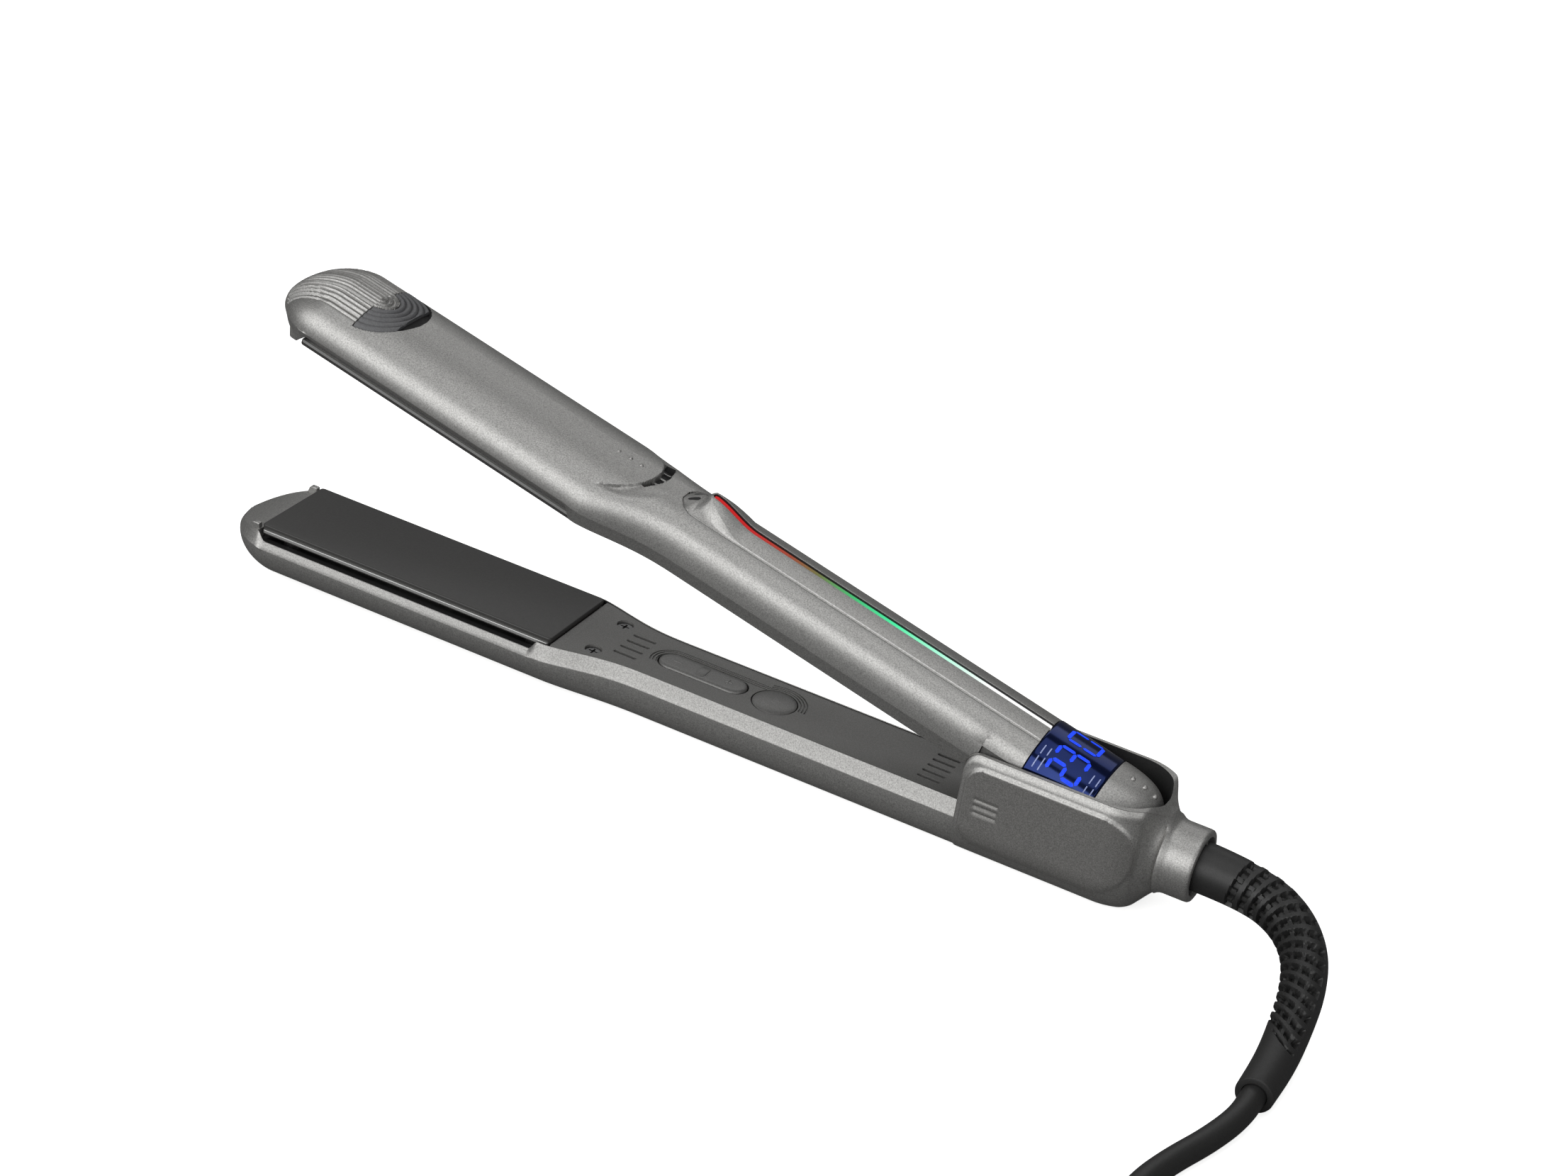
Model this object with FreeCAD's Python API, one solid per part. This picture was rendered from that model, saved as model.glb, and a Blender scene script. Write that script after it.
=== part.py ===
"""Flat iron (hair straightener), lying open on its lower arm.

The arms are modelled closed, in arm coordinates: x runs from the front edge of the
heat plates (x = 0) back to the cord, y runs across, and z is the height above the
plane where the two plates meet.  A piece that both arms have is built for the upper
arm (z up) and mirrored for the lower one.  At the end the upper arm is opened about
the hinge, and everything is moved so that the origin is on the table, under the
middle of the iron.
"""
import FreeCAD, Part
import math
import os
from FreeCAD import Vector as V

os.makedirs("parts", exist_ok=True)

# ---------------------------------------------------------------- driving dimensions
PLATE_L = 89.0            # heat plate, along the iron
PLATE_W = 28.0            # heat plate, across the iron
PLATE_GAP = 0.05          # each plate stays this far from the plane where they meet
PLATE_T = 3.0             # depth of the back of the plate

NOSE_LEN = 16.3           # rounded tip ahead of the full width
NOSE_X = 3.6              # where the tip reaches the full width
HEAD_W = 17.3             # half width beside the plates
HANDLE_W = 12.3           # half width of the handle
NECK_X0 = 88.0            # the head starts to narrow
NECK_X1 = 122.0           # the handle has its full slimness
ARM_END_X = 204.6         # where the handle goes into the hinge housing
ARM_H = 16.5              # depth of each arm from the plane where the plates meet
REST_H = 16.4             # depth of the flat strip it rests on
WIDEST = 5.5              # depth at which an arm is widest
RIM = 1.3                 # depth of the rim round the inner panel
LIP = 4.0                 # depth of the side lip beside the plates
LIP_Y = 15.5              # inner edge of the side lip
BEVEL = 1.8               # width of the bevel between rim and widest line
WALL = 1.8                # casing wall
NOSE_N = 1.6              # how the nose tapers in side view: 1 straight, 2 round
HEAD_N, HANDLE_N = 2.25, 2.9    # squareness of the section in the head and the handle
RIM_SLOPE = 1.7           # the rim slopes to the widest line along the nose, by this power

PANEL_END_X = 222.0       # rear end of the lower inner panel, inside the housing
PANEL_Z0 = 1.6            # face of the inner panel
PANEL_Z1 = 2.9            # back of the inner panel
SCREW_X, SCREW_Y = 98.6, 8.3
SCREW_HEAD_R, SCREW_R = 2.1, 1.0
POST_Z = 4.4              # top of the casing posts that take the panel screws

ROCKER_X, ROCKER_L, ROCKER_W = 126.3, 25.0, 7.5
AXLE_R, AXLE_Z = 0.8, 3.7
POWER_X, POWER_R = 147.1, 5.85
BUTTON_GAP = 0.25
SWITCH_TOP = 4.6          # depth of the top of the tact switches
BOARD_Z0, BOARD_Z1 = 5.8, 7.2

LOUVRE_X0, LOUVRE_X1 = 98.2, 99.6
LOUVRES = [(-3.4, -2.0), (-0.5, 1.4), (3.2, 6.4)]    # sides of the vents behind the head

TIP_X, TIP_R = 11.0, 13.2      # centre and radius of the round recess in the tip
TIP_X0, TIP_X1 = 12.0, 21.5    # silicone insert, front and rear edges

HINGE_X, HINGE_Z = 234.4, 1.0
OPEN_DEG = 13.5
PIN_R = 2.0
BARREL_R = 7.0
KNUCKLE_W = 11.9

CHEEK_Y0 = 12.9           # inner face of the hinge housing's cheeks
CHEEK_Y1 = 15.1           # outer face
HOUSING_X1 = 253.4        # back of the housing, ahead of the cord boss
HOUSING_TOP = 15.0
HOUSING_R = 13.0          # rounding of its rear corners
HOUSING_LOW_R = 10.0      # rounding of its lower rear edge
REAR_WALL = 1.6
BOSS_R = 9.4
BOSS_X1 = 265.2
COLLAR_R = 7.6
COLLAR_X1 = 266.2         # end of the swivel collar
HOUSING_SCREWS = [(213.5, -7.6), (245.5, -11.4)]    # x and height

DISPLAY_X0 = 215.8
DISPLAY_X1 = 234.2
DISPLAY_H, DISPLAY_N = 12.0, 2.4    # height above the widest line, and squareness
CAP_X1 = 249.8
KNUCKLE_TOP = 9.7
SPINE_X0 = 106.7
SPINE_W = 6.3
SEAM_Z = 16.2             # height of the seam beside the spine
LED_X0, LED_W = 114.0, 0.9

BOOT_R0 = 6.4             # strain relief at the boss
BOOT_R1 = 4.7             # and where the cord leaves it
CORD_R = 3.0

MID_X = 127.75            # the origin is under this place, near the middle of the iron
BASE_Z = REST_H           # height of the plate plane above the table

# cord route, from the end of the collar, as x, y and height above the plate plane
CORD_Z = CORD_R - BASE_Z
BOOT_ROUTE = [(COLLAR_X1, 0, 0), (277.8, 0.2, -0.4), (288.6, -4.0, -1.7), (296.4, -12.2, -4.0),
              (300.4, -23, -6.7), (302.4, -35.5, -9.2), (303.8, -48.5, -11.0), (304.0, -62.5, -11.7)]
CORD_ROUTE = [(304.0, -62.5, -11.7), (304.0, -72, -12.2), (301, -83, -13.2), (297, -94.5, CORD_Z),
              (294.2, -106.5, CORD_Z), (294.0, -118, CORD_Z), (297.8, -130, CORD_Z),
              (306.5, -139, CORD_Z), (319, -144.2, CORD_Z), (334, -145, CORD_Z), (413.9, -145, CORD_Z)]
COIL_R = 51.0             # radius of the outermost turn
COIL_INNER_R = 19.0       # radius of the innermost turn
COIL_X, COIL_Y = CORD_ROUTE[-1][0], CORD_ROUTE[-1][1] + COIL_R
COIL_LAYERS = 2
TAIL_TURN = 218.0         # the tail is laid out in axes turned by this, about the coil's centre
TAIL_ROUTE = [(46, -20, 0), (48.5, -8.3, 0), (47.2, 3.6, 0.3), (41.6, 14.2, 2.2),
              (32.4, 21.9, 5.2), (21, 25.6, 8.4), (13, 25.6, 10)]    # height above a third layer
PLUG_H, PLUG_W, PLUG_L = 26.0, 35.0, 32.0
PIN_SPACING, PLUG_PIN_R, PLUG_PIN_L = 19.0, 2.4, 19.0


# ---------------------------------------------------------------- small helpers
def box(x0, x1, y0, y1, z0, z1):
    return Part.makeBox(x1 - x0, y1 - y0, z1 - z0, V(x0, y0, z0))


def cyl(r, p, axis, length):
    return Part.makeCylinder(r, length, V(*p), V(*axis))


def prism(points, direction):
    """Closed polygon through points, extruded by direction."""
    wire = Part.makePolygon([V(*p) for p in points] + [V(*points[0])])
    return Part.Face(wire).extrude(V(*direction))


def fuse(shapes):
    return shapes[0].multiFuse(shapes[1:]) if len(shapes) > 1 else shapes[0]


def cut(shape, tools):
    return shape.cut(Part.makeCompound(tools)) if tools else shape


def stadium(cx, cy, length, width, z0, z1):
    """Slot with round ends along x, centred at cx, cy."""
    r = width / 2.0
    h = length / 2.0 - r
    a, b = V(cx - h, cy - r, z0), V(cx + h, cy - r, z0)
    c, d = V(cx + h, cy + r, z0), V(cx - h, cy + r, z0)
    edges = [
        Part.LineSegment(a, b).toShape(),
        Part.Arc(b, V(cx + h + r, cy, z0), c).toShape(),
        Part.LineSegment(c, d).toShape(),
        Part.Arc(d, V(cx - h - r, cy, z0), a).toShape(),
    ]
    return Part.Face(Part.Wire(edges)).extrude(V(0, 0, z1 - z0))


def smooth(t):
    t = min(max(t, 0.0), 1.0)
    return t * t * (3.0 - 2.0 * t)


def both_sides(make):
    return [make(side) for side in (-1, 1)]


# ---------------------------------------------------------------- arm casing shape
def half_width(x):
    """Half width of an arm: round nose, head beside the plates, neck, slim handle."""
    if x < NOSE_X:
        return HEAD_W * math.sqrt(1.0 - nose(x) ** 2)
    return HEAD_W + (HANDLE_W - HEAD_W) * neck(x)


def nose(x):
    """0 at the full width, rising to 1 at the very front of the nose."""
    return min(max((NOSE_X - x) / NOSE_LEN, 0.0), 0.9995)


def neck(x):
    """0 in the head, 1 in the handle: quick at first, then easing into the handle."""
    t = min(max((x - NECK_X0) / (NECK_X1 - NECK_X0), 0.0), 1.0)
    return 1.0 - (1.0 - smooth(t * 1.25)) * (1.0 - t)


def depth(x):
    """Depth of an arm beyond its widest line."""
    return (ARM_H - WIDEST) * (1.0 - nose(x) ** NOSE_N) ** (1 / NOSE_N)


def power(x):
    """Squareness of the section: rounder beside the plates than in the handle."""
    return HEAD_N + (HANDLE_N - HEAD_N) * neck(x)


def belly_curve(x, b, h, n, points=15):
    """Half superellipse over the widest line, from +y to -y."""
    curve = []
    for i in range(points):
        a = math.pi * i / (points - 1)
        c, s = math.cos(a), math.sin(a)
        y = math.copysign(abs(c) ** (2 / n), c) * b
        curve.append(V(x, y, WIDEST + h * abs(s) ** (2 / n)))
    belly = Part.BSplineCurve()
    belly.interpolate(curve)
    return belly, curve[0], curve[-1]


def section(x, inset=0.0, rim=RIM):
    """Closed section of an arm at x; inset shrinks it all round."""
    b = max(half_width(x) - inset, 0.3)
    h = max(depth(x) - inset, 0.3)
    bevel = min(BEVEL, b * 0.5)
    if rim == RIM:
        rim += (WIDEST - 0.4 - RIM) * nose(x) ** RIM_SLOPE
    belly, first, last = belly_curve(x, b, h, power(x))
    left, right = V(x, -b + bevel, rim), V(x, b - bevel, rim)
    return Part.Wire([
        belly.toShape(),
        Part.LineSegment(last, left).toShape(),
        Part.LineSegment(left, right).toShape(),
        Part.LineSegment(right, first).toShape(),
    ])


NOSE_STATIONS = [NOSE_X - NOSE_LEN * t for t in (0.985, 0.95, 0.87, 0.74, 0.53, 0.28, 0.0)]
HEAD_STATIONS = [NOSE_X, 20.0, 45.0, 70.0, NECK_X0]
NECK_STATIONS = [NECK_X0, 93.0, 98.0, 103.0, 109.0, 115.0, NECK_X1]


def loft(stations, **kw):
    return Part.makeLoft([section(x, **kw) for x in stations], True, False)


def arm_blank(x_end, inset=0.0, rim=RIM, front=True):
    """Outer shape of an arm, or a smaller copy of it, from the nose to x_end."""
    kw = {"inset": inset, "rim": rim}
    pieces = [loft(HEAD_STATIONS, **kw), loft(NECK_STATIONS, **kw), loft([NECK_X1, x_end], **kw)]
    if front:
        pieces.insert(0, loft(NOSE_STATIONS, **kw))
    return fuse(pieces).common(box(-30, 300, -30, 30, -5, REST_H - inset))


def panel_outline(gap, x_end):
    """Outline of the inner panel, at z = 0, from the plate's rear edge to x_end."""
    xs = [PLATE_L + 0.4, 92.0, 95.0, 98.0, 101.0, 105.0, 110.0, 116.0, NECK_X1]
    side = [V(x, -(half_width(x) - BEVEL - gap), 0) for x in xs]
    near = Part.BSplineCurve()
    near.interpolate(side)
    far = Part.BSplineCurve()
    far.interpolate([V(p.x, -p.y, 0) for p in reversed(side)])
    y = HANDLE_W - BEVEL - gap
    edges = [
        near.toShape(),
        Part.LineSegment(side[-1], V(x_end, -y, 0)).toShape(),
        Part.LineSegment(V(x_end, -y, 0), V(x_end, y, 0)).toShape(),
        Part.LineSegment(V(x_end, y, 0), V(side[-1].x, y, 0)).toShape(),
        far.toShape(),
        Part.LineSegment(V(side[0].x, -side[0].y, 0), side[0]).toShape(),
    ]
    return Part.Face(Part.Wire(edges))


def side_window():
    """Takes the rim away beside the plates, down to the sloping lip."""
    y, low = HEAD_W + 2.0, -1.0
    slope = LIP + y - LIP_Y
    outline = [(-y, low), (y, low), (y, slope), (LIP_Y, LIP), (-LIP_Y, LIP), (-y, slope)]
    return prism([(2.0, p[0], p[1]) for p in outline], (83.0, 0, 0))


def casing():
    """Shell of one arm: belly, bevel, nose face, lugs and screw posts."""
    blank = arm_blank(ARM_END_X)
    inside = arm_blank(ARM_END_X + 1.0, WALL, -1.0, front=False)
    inside = inside.common(box(NOSE_X, ARM_END_X + 1.0, -30, 30, -5, 30))
    seat = panel_outline(-0.1, ARM_END_X + 1.0).extrude(V(0, 0, PANEL_Z1 + 1.0))
    seat.translate(V(0, 0, -1.0))
    well = box(-0.5, PLATE_L + 0.8, -LIP_Y, LIP_Y, -1.0, 8.6)
    body = cut(blank, [inside, seat, well, side_window()])

    def post(side):
        whole = cyl(2.6, (SCREW_X, side * SCREW_Y, POST_Z), (0, 0, 1), 10.0)
        return whole.common(arm_blank(ARM_END_X, 0.5, front=False))

    def lug(side):
        y = side * 12.8
        profile = [(-4.2, y, 3.6), (-0.6, y, 3.6), (-0.9, y, 0.2), (-3.2, y, 0.2)]
        return prism(profile, (0, side * 1.4, 0))

    body = fuse([body] + both_sides(post) + both_sides(lug))
    holes = both_sides(lambda s: cyl(SCREW_R, (SCREW_X, s * SCREW_Y, POST_Z - 0.1), (0, 0, 1), 5.6))
    return cut(body, holes)


def lower_casing():
    """The lower casing has a spigot that goes into the hinge housing."""
    start, end, rim = ARM_END_X - 3.0, ARM_END_X + 5.0, PANEL_Z1 + 0.3
    inner = loft([start - 1.0, end + 1.0], inset=3.8, rim=-1.0)
    inner = fuse([inner, box(190, 220, -HANDLE_W, HANDLE_W, -2, 4.5)])
    spigot = cut(loft([start, end], inset=2.4, rim=rim), [inner])
    link = cut(loft([start, ARM_END_X - 0.2], inset=1.0, rim=rim), [inner])
    return mirrored(fuse([casing(), link, spigot]))


def upper_casing():
    """The upper casing carries the tip insert, the spine and the rear side notches."""
    rear = loft([ARM_END_X - 2.0, DISPLAY_X0 - 0.1])
    rear_inside = loft([ARM_END_X - 3.0, DISPLAY_X0 + 1.0], inset=WALL, rim=-1.0)
    rear = cut(rear.common(box(190, 230, -30, 30, KNUCKLE_TOP, REST_H)), [rear_inside])
    body = fuse([casing(), rear])
    recess = cyl(TIP_R, (TIP_X, 0, 8), (0, 0, 1), 12)
    recess = recess.common(box(TIP_X0 - 0.1, 40, -20, 20, 0, 40))
    island = cyl(4.8, (TIP_X, 0, 8), (0, 0, 1), 12)
    recess = cut(recess, [island, arm_blank(ARM_END_X, 1.1)])
    slot = box(SPINE_X0 + SPINE_W, DISPLAY_X0 + 1, -SPINE_W, SPINE_W, 12, 20)
    slot = fuse([slot, cyl(SPINE_W, (SPINE_X0 + SPINE_W, 0, 12), (0, 0, 1), 8)])
    louvres = [box(LOUVRE_X0, LOUVRE_X1, a, b, 12, 20) for a, b in LOUVRES]
    return cut(body, [recess, slot] + louvres)


def mirrored(shape):
    """A piece of the lower arm from the same piece of the upper one."""
    return shape.mirror(V(0, 0, 0), V(0, 0, 1))


# ---------------------------------------------------------------- heat plates
def plate():
    """Heat plate with rounded corners and a thin flange round its waist."""
    y = PLATE_W / 2.0
    block = box(0, PLATE_L, -y, y, PLATE_GAP, PLATE_T)
    corners = [e for e in block.Edges if abs(e.Vertexes[0].Z - e.Vertexes[1].Z) > 1.0]
    block = block.makeFillet(1.0, corners)
    flange = box(0.6, PLATE_L - 0.6, -y - 0.6, y + 0.6, 1.3, 2.2)
    return fuse([block, flange]).removeSplitter()


def heater():
    """Ceramic heating element in its sheet clip, on the back of the plate."""
    element = box(15, 75, -5, 5, PLATE_T, 5.2)
    clip = box(35, 55, -6, 6, PLATE_T, 5.7)
    return fuse([element, clip]).removeSplitter()


def carrier():
    """Black tray that the plate floats in."""
    outer = box(-0.3, PLATE_L + 0.6, -15.2, 15.2, 4.4, 8.4)
    pocket = box(1.3, PLATE_L - 1.0, -13.2, 13.2, 4.0, 7.0)
    side_relief = both_sides(lambda s: prism(
        [(-1, s * 16, 4.0), (-1, s * 15.0, 4.0), (-1, s * 16, 5.4)], (PLATE_L + 3, 0, 0)))
    return cut(outer, [pocket] + side_relief)


def float_springs():
    """Four short springs between the tray and the back of the plate."""
    spots = [(7.0, -9.0), (7.0, 9.0), (82.0, -9.0), (82.0, 9.0)]
    return Part.makeCompound([cut(cyl(2.4, (x, y, PLATE_T), (0, 0, 1), 4.0),
                                  [cyl(1.5, (x, y, PLATE_T - 1), (0, 0, 1), 6.0)]) for x, y in spots])


# ---------------------------------------------------------------- inner panels
def panel(x_end, openings=(), rear_vents=False):
    """Inner panel: ramp at the plate end, screw recesses, vents, button openings."""
    body = panel_outline(0.05, x_end).extrude(V(0, 0, PANEL_Z1 - PANEL_Z0))
    body.translate(V(0, 0, PANEL_Z0))
    bosses = both_sides(lambda s: cyl(3.2, (SCREW_X, s * SCREW_Y, PANEL_Z1 - 0.2), (0, 0, 1),
                                      POST_Z - PANEL_Z1 + 0.2))
    tools = []
    for side in (-1, 1):
        tools.append(cyl(2.25, (SCREW_X, side * SCREW_Y, 0), (0, 0, 1), 3.2))
        tools.append(cyl(SCREW_R + 0.1, (SCREW_X, side * SCREW_Y, 0), (0, 0, 1), 6.0))
    for y in (-5.2, -1.73, 1.73, 5.2):
        tools.append(stadium(106.2, y, 6.7, 1.1, 0, 5))
    if rear_vents:
        tools += [stadium(193.7, 3.05 * k, 6.4, 1.1, 0, 5) for k in range(-2, 3)]
    strip = prism([(PLATE_L + 0.4, -14.6, PANEL_Z0), (PLATE_L + 0.4, -14.6, RIM),
                   (91.5, -14.6, PANEL_Z0)], (0, 29.2, 0))
    return cut(fuse([body, strip] + bosses), tools + list(openings))


def lower_panel():
    rocker_hole = stadium(ROCKER_X, 0, ROCKER_L + 0.8, ROCKER_W + 0.5, 0, 5)
    power_hole = cyl(POWER_R + BUTTON_GAP, (POWER_X, 0, 0), (0, 0, 1), 5)
    body = panel(ARM_END_X, [rocker_hole, power_hole], rear_vents=True)
    tongue = box(ARM_END_X - 0.1, PANEL_END_X, -10.4, 10.4, PANEL_Z0, PANEL_Z1)
    ears = []
    for side in (-1, 1):
        ear = box(ROCKER_X - 1.8, ROCKER_X + 1.8, side * 5.1 - 0.6, side * 5.1 + 0.6, PANEL_Z1 - 0.1, 5.2)
        ears.append(ear)
    axle_hole = cyl(AXLE_R + 0.05, (ROCKER_X, -6, AXLE_Z), (0, 1, 0), 12)
    body = fuse([body, tongue] + ears)
    return mirrored(cut(body, [axle_hole] + contour_grooves()))


def contour_grooves():
    """Three grooves along the far side of the rocker, round its front and the power button."""
    half, bottom = 0.2, PANEL_Z0 + 0.3

    def ring(x, r):
        return cut(cyl(r + half, (x, 0, 0), (0, 0, 1), bottom), [cyl(r - half, (x, 0, 0), (0, 0, 1), 5)])

    front = ROCKER_X - (ROCKER_L - ROCKER_W) / 2
    turn = POWER_X - 4.0
    grooves = []
    for offset in (0.65, 1.5, 2.3):
        y = ROCKER_W / 2 + offset
        grooves.append(ring(front, y).common(box(front - 10, front, -2.5, 12, 0, 3)))
        grooves.append(box(front, turn - 0.2, y - half, y + half, 0, bottom))
        grooves.append(ring(POWER_X, POWER_R + BUTTON_GAP + offset).common(box(turn, 160, 0, 12, 0, 3)))
    return grooves


def upper_panel():
    return panel(ARM_END_X - 0.2)


def panel_screws():
    """Two cross-head screws, as separate solids."""
    def screw(side):
        at = (SCREW_X, side * SCREW_Y, 2.2)
        head = cyl(SCREW_HEAD_R, at, (0, 0, 1), 1.0)
        shank = cyl(SCREW_R - 0.02, at, (0, 0, 1), 7.0)
        x, y = at[:2]
        cross = [box(x - 1.2, x + 1.2, y - 0.25, y + 0.25, 2.0, 2.8),
                 box(x - 0.25, x + 0.25, y - 1.2, y + 1.2, 2.0, 2.8)]
        return cut(fuse([head, shank]), cross)
    return Part.makeCompound(both_sides(screw))


# ---------------------------------------------------------------- buttons and board
def rocker():
    """Minus and plus rocker with a raised divider, and the axle it rocks on."""
    body = stadium(ROCKER_X, 0, ROCKER_L, ROCKER_W, 1.0, 3.9)
    divider = box(ROCKER_X - 1.2, ROCKER_X + 1.2, -2.6, 2.6, 0.6, 1.2)
    axle = cyl(AXLE_R, (ROCKER_X, -5.65, AXLE_Z), (0, 1, 0), 11.3)
    marks = [box(ROCKER_X - 8.6, ROCKER_X - 6.2, -0.3, 0.3, 0.9, 1.2),
             box(ROCKER_X + 6.2, ROCKER_X + 8.6, -0.3, 0.3, 0.9, 1.2),
             box(ROCKER_X + 7.1, ROCKER_X + 7.7, -1.2, 1.2, 0.9, 1.2)]
    return mirrored(cut(fuse([body, divider, axle]), marks))


def power_button():
    """Domed cap with a retaining flange under the panel."""
    body = cyl(POWER_R, (POWER_X, 0, 1.5), (0, 0, 1), 2.2)
    ball_r = 24.0
    dome = Part.makeSphere(ball_r, V(POWER_X, 0, 0.85 + ball_r))
    dome = dome.common(cyl(POWER_R, (POWER_X, 0, 0), (0, 0, 1), 1.6))
    flange = cyl(POWER_R + 0.8, (POWER_X, 0, 3.2), (0, 0, 1), 0.7)
    return mirrored(fuse([body, dome, flange]))


def control_board():
    """Board under the panel with its chip, capacitors and wire block."""
    board = box(112, 188, -8, 8, BOARD_Z0, BOARD_Z1)
    chip = box(158, 166, -4, 4, 4.6, BOARD_Z0)
    capacitors = [cyl(2.4, (172 + 6 * k, 3.5, BOARD_Z1), (0, 0, 1), 5.0) for k in range(2)]
    block = box(178, 187, -7, 1, BOARD_Z1, BOARD_Z1 + 5.0)
    supports = [box(x, x + 2, y - 1, y + 1, BOARD_Z1, 13.0) for x in (120, 150) for y in (-6, 6)]
    return mirrored(fuse([board, chip, block] + capacitors + supports))


def tact_switches():
    """Three small switches: one under each end of the rocker, one under the button."""
    def switch(x):
        body = box(x - 3, x + 3, -3, 3, SWITCH_TOP + 0.4, BOARD_Z0)
        return fuse([body, cyl(1.2, (x, 0, SWITCH_TOP), (0, 0, 1), 0.5)])
    spots = (ROCKER_X - 9.3, ROCKER_X + 9.3, POWER_X)
    return mirrored(Part.makeCompound([switch(x) for x in spots]))


def rod_chain(points, r):
    """Wire along straight runs with ball corners."""
    pieces = []
    for a, b in zip(points, points[1:]):
        d = V(*b) - V(*a)
        pieces.append(cyl(r, a, tuple(d), d.Length))
    pieces += [Part.makeSphere(r, V(*p)) for p in points[1:-1]]
    return fuse(pieces)


def lead_wires():
    """Two insulated leads from the collar, under the hinge, to the wire block."""
    def lead(side):
        y = side * 1.6
        return rod_chain([(258, y, -1.0), (250.5, y, -3.6), (238, y, -11.4), (214, y - 3, -11.4),
                          (187.1, y - 3, -9.6)], 0.9)
    return Part.makeCompound(both_sides(lead))


# ---------------------------------------------------------------- hinge housing
def housing_profile(grow):
    """Cross-section of the housing, made smaller by a negative grow."""
    y, low, top, r = CHEEK_Y1 + grow, -(REST_H + grow), HOUSING_TOP, 11.0 + grow
    s = r * math.sqrt(0.5)
    pts = [V(0, -y, low + r), V(0, -y + r - s, low + r - s), V(0, -y + r, low),
           V(0, y - r, low), V(0, y - r + s, low + r - s), V(0, y, low + r),
           V(0, y, top - 3.0), V(0, y - 1.3, top), V(0, -y + 1.3, top), V(0, -y, top - 3.0)]
    edges = [Part.Arc(pts[0], pts[1], pts[2]).toShape(), Part.LineSegment(pts[2], pts[3]).toShape(),
             Part.Arc(pts[3], pts[4], pts[5]).toShape()]
    loop = pts[5:] + pts[:1]
    edges += [Part.LineSegment(a, b).toShape() for a, b in zip(loop, loop[1:])]
    return Part.Face(Part.Wire(edges))


def plan_body(x0, x1, y, r, z0, z1):
    """Block with two rounded rear corners."""
    block = box(x0, x1, -y, y, z0, z1)
    rear = [e for e in block.Edges if abs(e.Vertexes[0].Z - e.Vertexes[1].Z) > 1.0
            and e.Vertexes[0].X > x1 - 0.1]
    return block.makeFillet(r, rear)


def side_body(x0, x1, r, z0, z1):
    """Block with a rounded lower rear edge."""
    block = box(x0, x1, -20, 20, z0, z1)
    low_rear = [e for e in block.Edges if abs(e.Vertexes[0].Y - e.Vertexes[1].Y) > 1.0
                and e.Vertexes[0].X > x1 - 0.1 and e.Vertexes[0].Z < 0]
    return block.makeFillet(r, low_rear)


def housing_outer():
    """Outer shape of both housing halves together, with the cord boss."""
    shape = housing_profile(0.0).extrude(V(HOUSING_X1 - ARM_END_X, 0, 0))
    shape.translate(V(ARM_END_X, 0, 0))
    shape = shape.common(plan_body(ARM_END_X, HOUSING_X1, CHEEK_Y1 + 0.5, HOUSING_R, -20, 20))
    shape = shape.common(side_body(ARM_END_X, HOUSING_X1, HOUSING_LOW_R, -REST_H, HOUSING_TOP))
    boss = Part.makeCone(BOSS_R + 2.6, BOSS_R, 7.0, V(HOUSING_X1 - 5.0, 0, 0), V(1, 0, 0))
    boss_end = cyl(BOSS_R, (HOUSING_X1 + 2.0, 0, 0), (1, 0, 0), BOSS_X1 - HOUSING_X1 - 2.0)
    return fuse([shape, boss, boss_end])


def housing_room():
    """Space inside the housing, up to its open top and front."""
    wall = CHEEK_Y1 - CHEEK_Y0
    front, back, r = ARM_END_X - 2.0, HOUSING_X1 - REAR_WALL, HOUSING_R - 1.8
    room = housing_profile(-wall).extrude(V(back - front + 1.0, 0, 0))
    room.translate(V(front, 0, 0))
    room = room.common(plan_body(front, back, CHEEK_Y0, r, -20, 20))
    room = room.common(side_body(front, back, HOUSING_LOW_R - 1.8, wall - REST_H, 20))
    return fuse([room, plan_body(front, back, CHEEK_Y0, r, 5, 20)])


def housing():
    """Hollow housing, open at the top for the upper arm and at the front."""
    outer = housing_outer()
    bore = cyl(COLLAR_R + 0.02, (HOUSING_X1 + 1.0, 0, 0), (1, 0, 0), 20)
    throat = cyl(4.0, (HOUSING_X1 - 4.0, 0, -1.6), (1, 0, 0), 7.0)
    body = cut(outer, [housing_room(), bore, throat])

    def pin_boss(side):
        return cyl(5.0, (HINGE_X, side * 12.1, HINGE_Z), (0, side, 0), 2.0)

    def ledge(side):
        y = side * 11.2
        return box(ARM_END_X + 1, PANEL_END_X, y - 2.0, y + 2.0, -4.4, -PANEL_Z1 - 0.05)

    posts = [cyl(2.6, (x, -CHEEK_Y1, z), (0, 1, 0), 2 * CHEEK_Y1).common(outer)
             for x, z in HOUSING_SCREWS]
    body = fuse([body] + both_sides(pin_boss) + both_sides(ledge) + posts)
    holes = [cyl(PIN_R, (HINGE_X, -14.0, HINGE_Z), (0, 1, 0), 28.0)]
    for x, z in HOUSING_SCREWS:
        holes.append(cyl(SCREW_R, (x, -11, z), (0, 1, 0), 21))
        holes.append(cyl(SCREW_HEAD_R, (x, 9, z), (0, 1, 0), CHEEK_Y1 - 8))
    return cut(body, holes)


def housing_half(side):
    """One half of the housing, split on the middle plane."""
    half = housing().common(box(200, 270, -20, 0, -20, 20) if side < 0 else
                            box(200, 270, 0, 20, -20, 20))
    if side > 0:
        return half
    marks = [box(209.2, 215.8, -CHEEK_Y1 - 1, -CHEEK_Y1 + 0.3, z - 0.3, z + 0.3)
             for z in (-0.4, 1.5, 3.4)]
    return cut(half, marks)


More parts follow.
